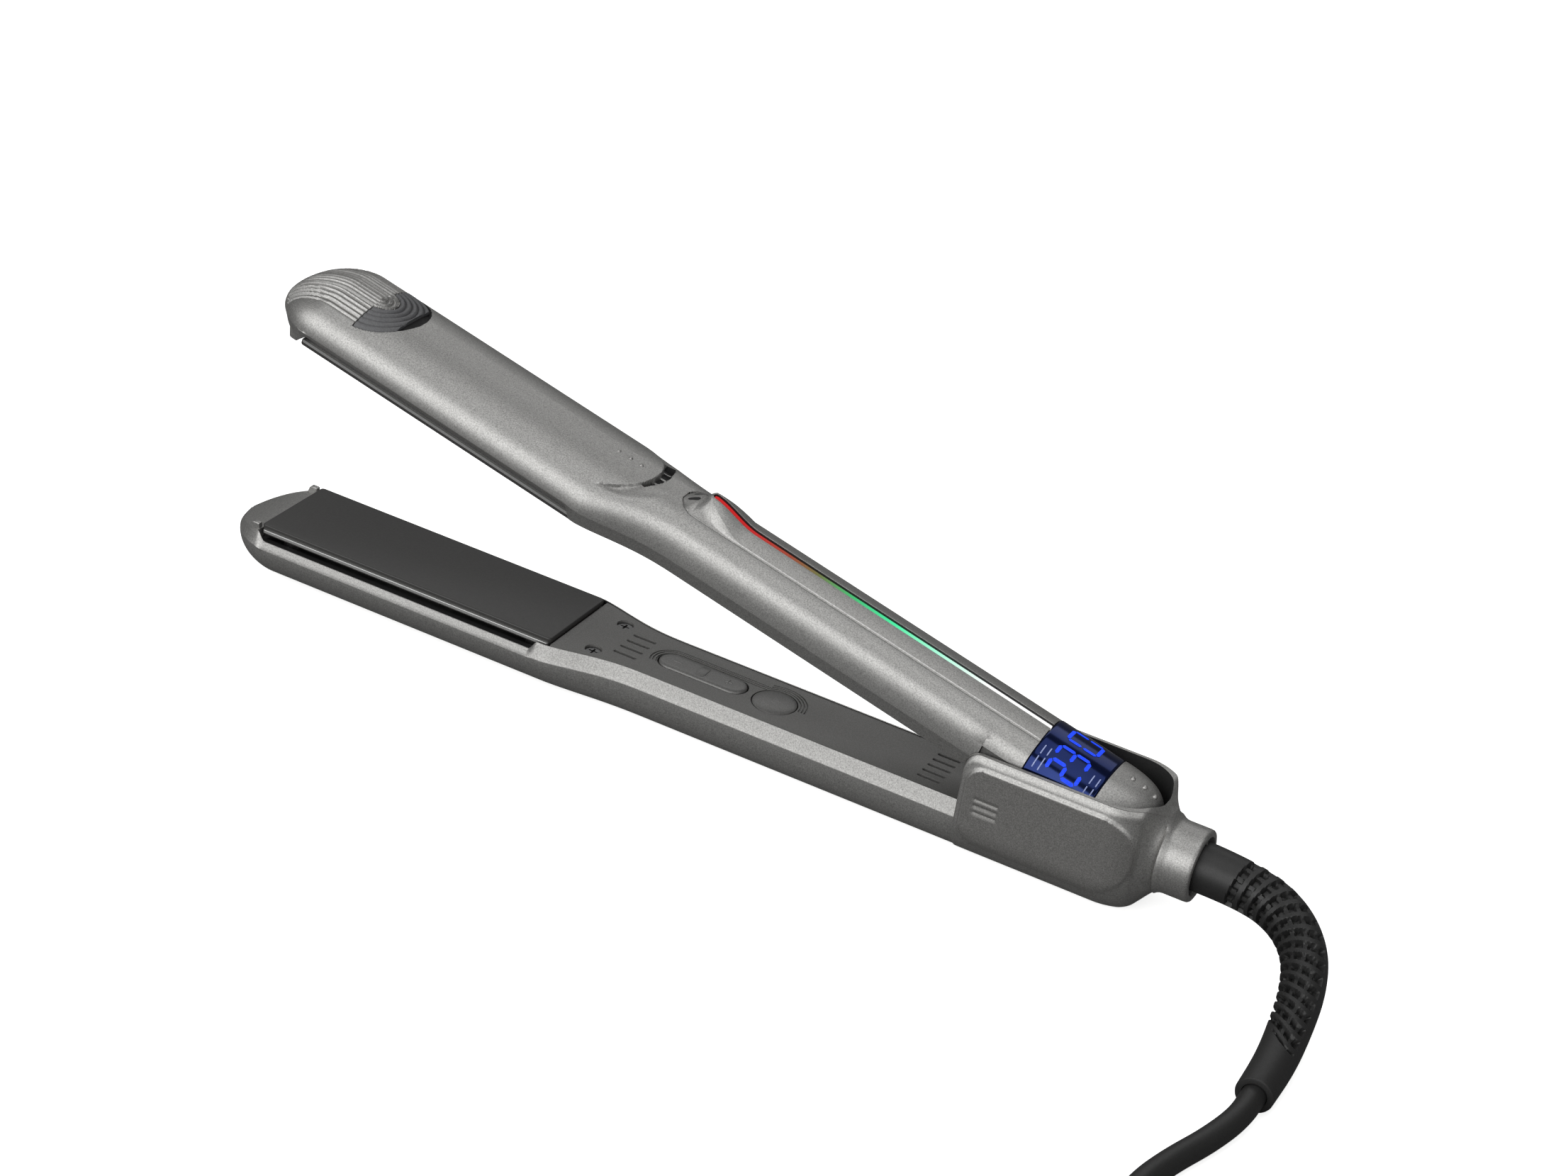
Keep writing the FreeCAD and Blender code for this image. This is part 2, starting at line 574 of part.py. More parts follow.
def housing_screws():
    """Screws that join the housing halves, driven from the far side."""
    def screw(x, z):
        head = cyl(2.05, (x, 9.1, z), (0, 1, 0), 1.9)
        shank = cyl(0.98, (x, -9.8, z), (0, 1, 0), 19)
        return cut(fuse([head, shank]), [box(x - 1.2, x + 1.2, 10.2, 11.5, z - 0.25, z + 0.25)])
    return Part.makeCompound([screw(x, z) for x, z in HOUSING_SCREWS])


def hinge_pin():
    return cyl(PIN_R - 0.01, (HINGE_X, -13.9, HINGE_Z), (0, 1, 0), 27.8)


def return_spring():
    """Torsion spring coils round the pin, with one leg to the housing floor."""
    coils = [Part.makeTorus(3.4, 0.6, V(HINGE_X, -3.6 + k, HINGE_Z), V(0, 1, 0)) for k in range(8)]
    core = cut(cyl(3.5, (HINGE_X, -3.6, HINGE_Z), (0, 1, 0), 7.0),
               [cyl(3.0, (HINGE_X, -5.0, HINGE_Z), (0, 1, 0), 10.0)])
    leg = rod_chain([(HINGE_X + 3.4, -3.6, HINGE_Z), (HINGE_X + 4.6, -3.6, -10.0),
                     (HINGE_X + 2.0, -3.6, -13.9)], 0.6)
    arm = rod_chain([(HINGE_X + 3.4, 3.4, HINGE_Z), (HINGE_X + 3.4, 3.4, 5.2)], 0.6)
    return fuse([core, leg, arm] + coils)


# ---------------------------------------------------------------- upper arm, rear
def knuckle():
    """Hinge block of the upper arm, with the pin bore and a gap for the spring."""
    base = plan_body(ARM_END_X + 0.1, CAP_X1 - 0.4, KNUCKLE_W - 0.5, 8.5, 1.7, KNUCKLE_TOP)
    barrel = cyl(BARREL_R, (HINGE_X, -KNUCKLE_W, HINGE_Z), (0, 1, 0), 2 * KNUCKLE_W)
    bore = cyl(PIN_R + 0.05, (HINGE_X, -20, HINGE_Z), (0, 1, 0), 40)
    gap = box(HINGE_X - 7.5, HINGE_X + 7.5, -4.6, 4.6, -8, 6.6)
    hollow = box(ARM_END_X + 3, HINGE_X - 8.5, -9.0, 9.0, 3.2, 8.0)
    return cut(fuse([base, barrel]), [bore, gap, hollow])


def display_section(x, inset=0.0):
    belly, first, last = belly_curve(x, HANDLE_W - inset, DISPLAY_H - inset, DISPLAY_N)
    return Part.Wire([belly.toShape(), Part.LineSegment(last, first).toShape()])


def display_solid(x0, x1, inset=0.0):
    blank = Part.makeLoft([display_section(x, inset) for x in (x0, x1)], True, False)
    return blank.common(box(x0, x1, -30, 30, KNUCKLE_TOP + 0.1, 30))


def display_window():
    """Glossy window that wraps over the top of the arm."""
    outer = display_solid(DISPLAY_X0, DISPLAY_X1)
    return cut(outer, [display_solid(DISPLAY_X0, DISPLAY_X1, 1.3)])


def display_module():
    """Seven-segment module and its board, under the window."""
    board = box(217.5, 232.5, -8.5, 8.5, KNUCKLE_TOP, 11.4)
    digits = [box(218.6, 231.4, y - 2.3, y + 2.3, 11.4, 13.9) for y in (-4.9, 0.0, 4.9)]
    return fuse([board] + digits)


def end_cap():
    """Bullet-shaped cap behind the display."""
    blank = display_solid(DISPLAY_X1 + 0.1, CAP_X1)
    plan = Part.Ellipse(V(DISPLAY_X1 + 1.0, 0, 0), CAP_X1 - DISPLAY_X1 - 1.0, HANDLE_W)
    plan_face = Part.Face(Part.Wire([plan.toShape()])).extrude(V(0, 0, 25))
    front = box(DISPLAY_X1, DISPLAY_X1 + 1.0, -20, 20, 0, 25)
    rear_top = prism([(247.3, -20, 30), (247.3, -20, 15.8), (248.8, -20, 14.0),
                      (CAP_X1, -20, 9.0), (260, -20, 9.0), (260, -20, 30)], (0, 40, 0))
    blank = cut(blank.common(fuse([plan_face, front])), [rear_top])
    hollow = box(DISPLAY_X1 + 1.5, 244.0, -7.0, 7.0, KNUCKLE_TOP, 14.6)
    dots = [Part.makeSphere(0.55, V(x, 0, 17.4)) for x in (238.9, 242.4, 245.9)]
    return fuse([cut(blank, [hollow])] + dots)


def ridge_height(x):
    """Height of the spine's ridge: a hump at the front, then level."""
    if x < 114.0:
        return 16.6 + 4.3 * smooth((x - 109.0) / 5.0)
    if x < 128.0:
        return 18.1 + 2.8 * (1.0 - smooth((x - 114.0) / 14.0))
    return 18.1 - 0.5 * (x - 128.0) / (DISPLAY_X0 - 128.0)


SPINE_STATIONS = [110.0, 112.0, 114.0, 117.0, 120.0, 124.0, 128.0, 170.0, DISPLAY_X0 - 0.1]


def spine_section(x):
    top = ridge_height(x)
    w, ridge = SPINE_W - 0.08, 1.6
    pts = [V(x, -w, 12.6), V(x, -w, SEAM_Z), V(x, -ridge, top), V(x, ridge, top),
           V(x, w, SEAM_Z), V(x, w, 12.6)]
    return Part.makePolygon(pts + pts[:1])


def spine_blank():
    pairs = zip(SPINE_STATIONS, SPINE_STATIONS[1:])
    return fuse([Part.makeLoft([spine_section(a), spine_section(b)], True, True) for a, b in pairs])


def led_channel(width, low, high):
    """Bar that follows the ridge, between two depths below it."""
    xs = [x for x in SPINE_STATIONS if x >= LED_X0]
    top = [(x, -width / 2, ridge_height(x) - high) for x in xs]
    bottom = [(x, -width / 2, ridge_height(x) - low) for x in reversed(xs)]
    return prism(top + bottom, (0, width, 0))


def spine_cover():
    """Raised cover along the handle, with its front tray and the light channel."""
    tray = cyl(SPINE_W - 0.08, (SPINE_X0 + SPINE_W, 0, 12.6), (0, 0, 1), 2.8)
    tray = tray.common(box(100, 112, -10, 10, 0, 20))
    body = fuse([spine_blank(), tray])
    hollow = box(112, DISPLAY_X0 + 1, -4.6, 4.6, 12, 15.0)
    slots = [stadium(108.9, y, 3.2, 1.2, 10, 20) for y in (-1.6, 1.6)]
    return cut(body, [hollow, led_channel(LED_W, 2.5, -1.0)] + slots)


def led_light_guide():
    return led_channel(LED_W - 0.04, 2.4, 0.4)


def tip_insert():
    """Silicone pad in the tip recess, flush with the casing."""
    disc = cyl(TIP_R - 0.1, (TIP_X, 0, 8), (0, 0, 1), 12)
    disc = disc.common(box(TIP_X0, TIP_X1, -20, 20, 0, 40)).common(arm_blank(ARM_END_X))
    island = cyl(4.9, (TIP_X, 0, 8), (0, 0, 1), 12)
    return cut(disc, [island, arm_blank(ARM_END_X, 1.05)])


# ---------------------------------------------------------------- cord
def bend(points, first, last, middle):
    """Tangent arc at a corner, as large as the shorter of its two runs allows."""
    a, p, b = V(*first), V(*middle), V(*last)
    u, w = (a - p), (b - p)
    run = min(u.Length, w.Length)
    u.normalize()
    w.normalize()
    half = (math.pi - u.getAngle(w)) / 2.0
    reach = 0.45 * run
    radius = reach / math.tan(half)
    start, end = p + u * reach, p + w * reach
    mid_dir = (u + w)
    mid_dir.normalize()
    middle_point = p + mid_dir * (radius / math.cos(half) - radius)
    points.append((start, middle_point, end, radius))


def route_wire(route):
    """Straight runs joined by tangent arcs; returns the wire and its bend radii."""
    bends = []
    for first, middle, last in zip(route, route[1:], route[2:]):
        bend(bends, first, last, middle)
    edges, at = [], V(*route[0])
    for start, middle_point, end, radius in bends:
        edges.append(Part.LineSegment(at, start).toShape())
        edges.append(Part.Arc(start, middle_point, end).toShape())
        at = end
    edges.append(Part.LineSegment(at, V(*route[-1])).toShape())
    return Part.Wire(edges), [b[3] for b in bends]


def tube(route, r, name):
    """Round tube along a route; prints its bend radii, and its volume as a check."""
    wire, radii = route_wire(route)
    start = V(*route[0])
    circle = Part.Circle(start, V(*route[1]) - start, r)
    ring = Part.Wire([circle.toShape()])
    solid = wire.makePipeShell([ring], True, True)
    print(name, "radii", [round(x, 1) for x in radii], "length", round(wire.Length, 1),
          "volume over section times length", round(solid.Volume / (math.pi * r * r * wire.Length), 4))
    return solid


def strain_relief():
    """Boot that bends with the cord: thick at the boss, thinner at its end."""
    wire, radii = route_wire(BOOT_ROUTE)
    start, second = V(*BOOT_ROUTE[0]), V(*BOOT_ROUTE[1])
    end, before = V(*BOOT_ROUTE[-1]), V(*BOOT_ROUTE[-2])
    rings = [Part.Wire([Part.Circle(start, second - start, BOOT_R0).toShape()]),
             Part.Wire([Part.Circle(end, end - before, BOOT_R1).toShape()])]
    print("boot radii", [round(x, 1) for x in radii], "length", round(wire.Length, 1))
    return wire.makePipeShell(rings, True, True)


def swivel_collar():
    """Collar that turns in the boss and carries the boot."""
    start = HOUSING_X1 + 1.2
    body = cyl(COLLAR_R - 0.03, (start, 0, 0), (1, 0, 0), COLLAR_X1 - start)
    return cut(body, [cyl(4.2, (HOUSING_X1, 0, 0), (1, 0, 0), 8.0)])


def cord_coil():
    """Outer shape of the flat round coil that the rest of the cord is wound in."""
    floor, thick = -BASE_Z, COIL_LAYERS * 2 * CORD_R
    inner = COIL_INNER_R - CORD_R
    ring = Part.makeCylinder(COIL_R + CORD_R, thick, V(COIL_X, COIL_Y, floor))
    return cut(ring, [Part.makeCylinder(inner, 3 * thick, V(COIL_X, COIL_Y, floor - thick))])


def tail_route():
    """Over the top of the coil, curving in and rising to the plug that lies on it."""
    a = math.radians(TAIL_TURN)
    low = CORD_Z + COIL_LAYERS * 2 * CORD_R + 0.05
    return [(COIL_X + x * math.cos(a) - y * math.sin(a), COIL_Y + x * math.sin(a) + y * math.cos(a), low + z)
            for x, y, z in TAIL_ROUTE]


def at_plug(shape):
    """Moves a piece built along +x from the cord's end to the plug's place."""
    shape.rotate(V(0, 0, 0), V(0, 0, 1), TAIL_TURN + 180.0)
    shape.translate(V(*tail_route()[-1]))
    return shape


def plug_body():
    """Two-pin plug: a tapered neck and a flat rounded body."""
    neck_length = 14.0
    neck_piece = Part.makeCone(CORD_R + 2.0, CORD_R + 5.0, neck_length + 1.0, V(0, 0, 0), V(1, 0, 0))
    body = Part.makeBox(PLUG_L, PLUG_W, PLUG_H, V(neck_length, -PLUG_W / 2, -PLUG_H / 2))
    long_edges = [e for e in body.Edges if abs(e.Vertexes[0].X - e.Vertexes[1].X) > 1.0]
    body = body.makeFillet(7.0, long_edges)
    back = [e for e in body.Edges if e.BoundBox.XMax < neck_length + 0.1]
    return at_plug(fuse([neck_piece, body.makeFillet(4.0, back)]))


def plug_pins():
    """Two round pins with rounded tips."""
    start = 14.0 + PLUG_L

    def pin(side):
        y = side * PIN_SPACING / 2
        rod = cyl(PLUG_PIN_R, (start, y, 0), (1, 0, 0), PLUG_PIN_L - PLUG_PIN_R)
        return fuse([rod, Part.makeSphere(PLUG_PIN_R, V(start + PLUG_PIN_L - PLUG_PIN_R, y, 0))])
    return at_plug(Part.makeCompound(both_sides(pin)))


# ---------------------------------------------------------------- assembly
def lower_pieces():
    """Everything fixed to the lower arm, and what is pressed or floats in it."""
    return {
        "lower_casing": lower_casing(),
        "lower_inner_panel": lower_panel(),
        "lower_plate_carrier": mirrored(carrier()),
        "lower_float_springs": mirrored(float_springs()),
        "lower_panel_screws": mirrored(panel_screws()),
        "lower_heat_plate": mirrored(plate()),
        "lower_heater": mirrored(heater()),
        "temperature_rocker": rocker(),
        "power_button": power_button(),
        "control_board": control_board(),
        "tact_switches": tact_switches(),
        "lead_wires": lead_wires(),
        "housing_near": housing_half(-1),
        "housing_far": housing_half(1),
        "housing_screws": housing_screws(),
        "hinge_pin": hinge_pin(),
        "return_spring": return_spring(),
    }


def cord_pieces():
    """The swivel, the boot, and the cord with its coil and plug."""
    return {
        "swivel_collar": swivel_collar(),
        "strain_relief": strain_relief(),
        "cord_run": tube(CORD_ROUTE, CORD_R, "cord run"),
        "cord_coil": cord_coil(),
        "cord_tail": tube(tail_route(), CORD_R, "cord tail"),
        "plug_body": plug_body(),
        "plug_pins": plug_pins(),
    }


def upper_pieces():
    """Everything that swings with the upper arm."""
    return {
        "upper_casing": upper_casing(),
        "upper_inner_panel": upper_panel(),
        "upper_plate_carrier": carrier(),
        "upper_float_springs": float_springs(),
        "upper_panel_screws": panel_screws(),
        "upper_heat_plate": plate(),
        "upper_heater": heater(),
        "tip_insert": tip_insert(),
        "spine_cover": spine_cover(),
        "light_guide": led_light_guide(),
        "display_window": display_window(),
        "display_module": display_module(),
        "end_cap": end_cap(),
        "hinge_block": knuckle(),
    }


def write(pieces, open_deg=0.0):
    for name, shape in pieces.items():
        if open_deg:
            shape.rotate(V(HINGE_X, 0, HINGE_Z), V(0, 1, 0), open_deg)
        shape.translate(V(-MID_X, 0, BASE_Z))
        shape.exportStep("parts/" + name + ".step")
        print(name, "valid" if shape.isValid() else "INVALID", len(shape.Solids), "solids",
              round(shape.Volume), "mm3")


write(lower_pieces())
write(cord_pieces())
write(upper_pieces(), OPEN_DEG)
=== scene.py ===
import bpy, bmesh, math
from mathutils import Matrix, Vector


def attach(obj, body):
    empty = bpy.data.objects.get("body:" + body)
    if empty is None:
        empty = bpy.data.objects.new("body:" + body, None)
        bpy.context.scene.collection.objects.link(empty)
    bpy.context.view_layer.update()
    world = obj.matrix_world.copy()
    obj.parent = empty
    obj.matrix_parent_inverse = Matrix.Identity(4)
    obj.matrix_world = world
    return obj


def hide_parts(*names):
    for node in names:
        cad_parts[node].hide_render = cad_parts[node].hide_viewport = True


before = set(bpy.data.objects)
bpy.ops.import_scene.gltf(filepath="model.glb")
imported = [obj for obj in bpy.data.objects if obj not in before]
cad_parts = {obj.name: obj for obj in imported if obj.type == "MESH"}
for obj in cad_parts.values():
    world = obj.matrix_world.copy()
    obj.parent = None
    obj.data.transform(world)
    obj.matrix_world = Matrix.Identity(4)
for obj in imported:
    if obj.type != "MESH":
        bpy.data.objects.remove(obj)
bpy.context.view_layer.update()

# Everything is built in arm coordinates, in mm: x from the front of the heat plates to
# the cord, y across, z up from the plane where the plates meet.
MID_X, BASE_Z = 127.75, 16.4
HINGE_X, HINGE_Z, OPEN = 234.4, 1.0, math.radians(13.5)
NOSE_X, NOSE_LEN, HEAD_W, HANDLE_W = 3.6, 16.05, 17.3, 12.3
ARM_H, FLAT_TOP, WIDEST, RIM, BEVEL = 16.5, 16.4, 5.5, 1.3, 1.8
LIP, LIP_Y, WALL = 4.0, 15.5, 1.8
PLATE_L = 89.0
ARM_END_X, DISPLAY_X0, DISPLAY_X1, CAP_X1 = 204.6, 215.75, 234.2, 249.8
REAR_W, REAR_H, REAR_N = 12.3, 12.0, 2.4
TIP_X, NOTCH_R, GRIP_R, RIBS_R, RIB_PITCH = 11.0, 4.8, 13.4, 12.4, 1.45
PLATEAU_X0, PLATEAU_LEN, PLATEAU_W, PLATEAU_N = 79.0, 19.0, 14.4, 2.2
VENT_X1, VENT_DEEP, BARS_DEEP, BARS_Y = 100.3, 3.0, 0.7, (-1.4, 2.0, 5.2)
SPINE_X0, SPINE_R = 106.7, 6.25
SPINE_CX = SPINE_X0 + SPINE_R


def smooth(t):
    t = min(max(t, 0.0), 1.0)
    return t * t * (3.0 - 2.0 * t)


def lerp(a, b, t):
    return a + (b - a) * t


def steps(a, b, size):
    """Values from a to b, no further apart than size."""
    n = max(1, int(math.ceil(abs(b - a) / size)))
    return [lerp(a, b, i / n) for i in range(n + 1)]


def turn(n):
    """Angles of n places evenly round a circle."""
    return [2 * math.pi * k / n for k in range(n)]


def oval(b, h, n, a):
    """Point at angle a of an oval of power n that stands on the widest line."""
    c, s = math.cos(a), math.sin(a)
    return math.copysign(abs(c) ** (2 / n), c) * b, WIDEST + h * abs(s) ** (2 / n)


def placed(p, arm):
    """A point in metres in the frame: lower is mirrored, upper is opened."""
    x, y, z = p
    if arm == "lower":
        z = -z
    if arm == "upper":
        dx, dz = x - HINGE_X, z - HINGE_Z
        x = HINGE_X + dx * math.cos(OPEN) + dz * math.sin(OPEN)
        z = HINGE_Z - dx * math.sin(OPEN) + dz * math.cos(OPEN)
    return ((x - MID_X) / 1000, y / 1000, (z + BASE_Z) / 1000)


class Shell:
    """Vertices and faces of one piece; m holds each face's material index."""

    def __init__(self):
        self.v, self.f, self.m = [], [], []

    def grid(self, rows, closed=False, mat=0):
        base, n = len(self.v), len(rows[0])
        for row in rows:
            self.v += [tuple(p) for p in row]
        for i in range(len(rows) - 1):
            for j in range(n if closed else n - 1):
                k = (j + 1) % n
                a, b = base + i * n, base + (i + 1) * n
                self.f.append((a + j, a + k, b + k, b + j))
                self.m.append(mat(i, j) if callable(mat) else mat)

    def cap(self, row, mat=0):
        base = len(self.v)
        self.v += [tuple(p) for p in row]
        self.f.append(tuple(range(base, base + len(row))))
        self.m.append(mat)

    def loft(self, rows, mat=0):
        """Closed rings joined along the piece, and closed at both ends."""
        self.grid(rows, closed=True, mat=mat)
        last = mat if not callable(mat) else 0
        self.cap(list(reversed(rows[0])), last)
        self.cap(rows[-1], last)

    def dome(self, x, z, r, h):
        """Round dot on the middle line."""
        rows = []
        for i in range(6):
            a = math.pi / 2 * i / 5
            rows.append([(x + r * math.cos(a) * math.cos(t), r * math.cos(a) * math.sin(t),
                          z + h * math.sin(a)) for t in turn(16)])
        self.grid(rows, closed=True)


def finish_piece(name, shell, arm, body, mats, nodes=(), sharp=32.0):
    """Makes the object, joins doubled points, turns normals out and rides it on its body."""
    mesh = bpy.data.meshes.new(name)
    mesh.from_pydata([placed(p, arm) for p in shell.v], [], shell.f)
    for mat in mats:
        mesh.materials.append(mat)
    mesh.polygons.foreach_set("material_index", shell.m)
    bm = bmesh.new()
    bm.from_mesh(mesh)
    bmesh.ops.remove_doubles(bm, verts=bm.verts, dist=2e-6)
    bmesh.ops.dissolve_degenerate(bm, dist=1e-6, edges=bm.edges)
    bmesh.ops.recalc_face_normals(bm, faces=bm.faces)
    bm.to_mesh(mesh)
    bm.free()
    mesh.shade_smooth()
    mesh.set_sharp_from_angle(angle=math.radians(sharp))
    piece = bpy.data.objects.new(name, mesh)
    bpy.context.scene.collection.objects.link(piece)
    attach(piece, body)
    if nodes:
        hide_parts(*nodes)
    return piece


# ------------------------------------------------------------------ materials
def new_material(name):
    mat = bpy.data.materials.new(name)
    mat.use_nodes = True
    nodes, links = mat.node_tree.nodes, mat.node_tree.links
    return mat, nodes, links, nodes["Principled BSDF"], nodes.new("ShaderNodeTexCoord").outputs["Object"]


def noise_node(nodes, links, vector, scale, detail=2.0, rough=0.5):
    tex = nodes.new("ShaderNodeTexNoise")
    tex.inputs["Scale"].default_value = scale
    tex.inputs["Detail"].default_value = detail
    tex.inputs["Roughness"].default_value = rough
    links.new(vector, tex.inputs["Vector"])
    return tex.outputs["Fac"]


def ramp_node(nodes, links, fac, stops):
    ramp = nodes.new("ShaderNodeValToRGB")
    elements = ramp.color_ramp.elements
    while len(elements) < len(stops):
        elements.new(0.5)
    for element, (pos, colour) in zip(elements, stops):
        element.position = pos
        element.color = (*colour, 1.0)
    links.new(fac, ramp.inputs["Fac"])
    return ramp.outputs["Color"]


def bump_node(nodes, links, height, shader, distance, normal=None):
    bump = nodes.new("ShaderNodeBump")
    bump.inputs["Strength"].default_value = 1.0
    bump.inputs["Distance"].default_value = distance
    links.new(height, bump.inputs["Height"])
    if normal:
        links.new(normal, bump.inputs["Normal"])
    links.new(bump.outputs["Normal"], shader.inputs["Normal"])


def surface(name, dark, light, rough, grain=2600.0, bump=0.00001, metallic=0.0, round_edge=0.0,
            spread=(0.35, 0.65), rough_spread=0.06, patch=0.0):
    """Procedural finish: colour, roughness and bump all vary with a fine grain."""
    mat, nodes, links, shader, obj = new_material(name)
    fine = noise_node(nodes, links, obj, grain, 3.0, 0.6)
    colour = ramp_node(nodes, links, fine, [(spread[0], dark), (spread[1], light)])
    if patch:
        broad = noise_node(nodes, links, obj, 45.0, 2.0)
        mix = nodes.new("ShaderNodeMix")
        mix.data_type = "RGBA"
        mix.blend_type = "MULTIPLY"
        mix.inputs["Factor"].default_value = patch
        tone = ramp_node(nodes, links, broad, [(0.3, (0.75, 0.75, 0.75)), (0.7, (1, 1, 1))])
        links.new(colour, mix.inputs["A"])
        links.new(tone, mix.inputs["B"])
        colour = mix.outputs["Result"]
    links.new(colour, shader.inputs["Base Color"])
    vary = nodes.new("ShaderNodeMapRange")
    vary.inputs["To Min"].default_value = max(rough - rough_spread, 0.02)
    vary.inputs["To Max"].default_value = rough + rough_spread
    links.new(noise_node(nodes, links, obj, grain * 0.37, 2.0), vary.inputs["Value"])
    links.new(vary.outputs["Result"], shader.inputs["Roughness"])
    shader.inputs["Metallic"].default_value = metallic
    normal = None
    if round_edge:
        bevel = nodes.new("ShaderNodeBevel")
        bevel.samples = 4
        bevel.inputs["Radius"].default_value = round_edge
        normal = bevel.outputs["Normal"]
    bump_node(nodes, links, fine, shader, bump, normal)
    return mat


PAINT = surface("satin_metallic_paint", (0.24, 0.238, 0.231), (0.47, 0.465, 0.452), 0.45,
                grain=3000.0, bump=0.000014, metallic=0.82, spread=(0.3, 0.72), rough_spread=0.05)
# Darker textured paint: the cheek pad's own finish, and painted shade in the troughs between the tip ribs.
PAD_PAINT_AND_RIB_SHADE = surface("textured_paint_and_rib_shade", (0.15, 0.148, 0.142), (0.27, 0.266, 0.257), 0.52,
                    grain=3200.0, bump=0.000018, metallic=0.6, spread=(0.32, 0.7))
# Dark moulding of the inner panels; on the hinge block it is painted shade over the recessed knuckle.
PANEL_AND_KNUCKLE_SHADE = surface("moulded_panel_and_knuckle_shade", (0.125, 0.124, 0.119), (0.185, 0.183, 0.176), 0.46,
                grain=3300.0, bump=0.000008, metallic=0.35, round_edge=0.00012, patch=0.2)
BUTTON = surface("button_moulding", (0.13, 0.129, 0.125), (0.19, 0.188, 0.182), 0.42,
                 grain=3300.0, bump=0.000006, metallic=0.35)
PLATE = surface("plate_coating", (0.030, 0.0295, 0.028), (0.040, 0.039, 0.0375), 0.42,
                grain=4000.0, bump=0.000002, patch=0.15)
PLATE_EDGE = surface("plate_edge", (0.62, 0.62, 0.61), (0.74, 0.74, 0.73), 0.34, metallic=0.9)
BLACK = surface("black_moulding", (0.012, 0.012, 0.012), (0.022, 0.022, 0.022), 0.5,
                bump=0.000008, round_edge=0.0001)
# Painted shade: near black, put on insides, seams, slots, pockets and vents where only shade falls.
PAINTED_SHADE = surface("shadow_gap", (0.006, 0.006, 0.006), (0.012, 0.012, 0.012), 0.8)
SILICONE = surface("silicone_pad", (0.080, 0.081, 0.084), (0.120, 0.121, 0.125), 0.55,
                   grain=2600.0, bump=0.000012)
CERAMIC = surface("ceramic", (0.62, 0.60, 0.55), (0.74, 0.72, 0.67), 0.6, grain=1800.0)
STEEL = surface("steel", (0.38, 0.38, 0.38), (0.56, 0.56, 0.56), 0.3, metallic=1.0,
                round_edge=0.00012)
DARK_STEEL = surface("screw_steel", (0.10, 0.10, 0.10), (0.2, 0.2, 0.2), 0.32, metallic=1.0,
                     round_edge=0.00012)
BOARD = surface("circuit_board", (0.012, 0.09, 0.035), (0.02, 0.14, 0.06), 0.45, grain=900.0)
LEADS = surface("wire_insulation", (0.2, 0.02, 0.015), (0.27, 0.035, 0.025), 0.5)
BOOT = surface("boot_rubber", (0.010, 0.010, 0.0099), (0.020, 0.020, 0.0196), 0.5, grain=3600.0,
               bump=0.000012, spread=(0.3, 0.75))
CORD = surface("cord_jacket", (0.009, 0.009, 0.0088), (0.016, 0.016, 0.0156), 0.45, grain=3600.0,
               bump=0.00001)
PLUG = surface("plug_moulding", (0.018, 0.018, 0.0178), (0.032, 0.032, 0.031), 0.5, grain=1500.0,
               bump=0.00004, round_edge=0.0004)
BRASS = surface("pin_metal", (0.52, 0.46, 0.28), (0.72, 0.65, 0.42), 0.28, metallic=1.0)
# Light blue bars on the window: painted highlights of the ribs in the glass.
RIB_HIGHLIGHT = surface("painted_rib_highlight", (0.20, 0.25, 0.48), (0.34, 0.40, 0.65), 0.4)


def window_glass():
    """Dark blue window that mirrors the lights."""
    mat, nodes, links, shader, obj = new_material("window_glass")
    tone = ramp_node(nodes, links, noise_node(nodes, links, obj, 60.0, 1.0),
                     [(0.35, (0.011, 0.019, 0.078)), (0.65, (0.017, 0.029, 0.110))])
    links.new(tone, shader.inputs["Base Color"])
    shader.inputs["Metallic"].default_value = 0.85
    shader.inputs["Roughness"].default_value = 0.14
    shader.inputs["Specular IOR Level"].default_value = 0.2
    bump_node(nodes, links, noise_node(nodes, links, obj, 2500.0), shader, 0.0000008)
    return mat


def glow(name, stops, span=None):
    """Light through moulded plastic; the colour may change along x, over the span."""
    mat, nodes, links, shader, obj = new_material(name)
    fac = grain = noise_node(nodes, links, obj, 2500.0)
    if span:
        split = nodes.new("ShaderNodeSeparateXYZ")
        links.new(obj, split.inputs["Vector"])
        place = nodes.new("ShaderNodeMapRange")
        place.inputs["From Min"].default_value, place.inputs["From Max"].default_value = span
        links.new(split.outputs["X"], place.inputs["Value"])
        fac = place.outputs["Result"]
    colour = ramp_node(nodes, links, fac, stops)
    body = ramp_node(nodes, links, grain, [(0.3, (0.012, 0.012, 0.014)), (0.7, (0.03, 0.03, 0.033))])
    links.new(body, shader.inputs["Base Color"])
    links.new(colour, shader.inputs["Emission Color"])
    shader.inputs["Emission Strength"].default_value = 1.0
    shader.inputs["Roughness"].default_value = 0.5
    shader.inputs["Specular IOR Level"].default_value = 0.15
    return mat


GLASS = window_glass()
DIGIT = glow("digit_glow", [(0.3, (0.0, 0.05, 0.96)), (0.7, (0.0, 0.07, 1.0))])
LED_SPAN = placed((114, 0, 18), "upper")[0], placed((215.6, 0, 17), "upper")[0]
LED = glow("light_guide_glow", [(0.0, (0.56, 0.0, 0.0)), (0.13, (0.50, 0.003, 0.002)),
                                (0.24, (0.30, 0.045, 0.015)), (0.32, (0.14, 0.15, 0.04)),
                                (0.42, (0.045, 0.48, 0.15)), (0.55, (0.06, 0.88, 0.38)),
                                (0.68, (0.42, 0.98, 0.72)), (0.82, (1.0, 1.0, 1.0))], LED_SPAN)

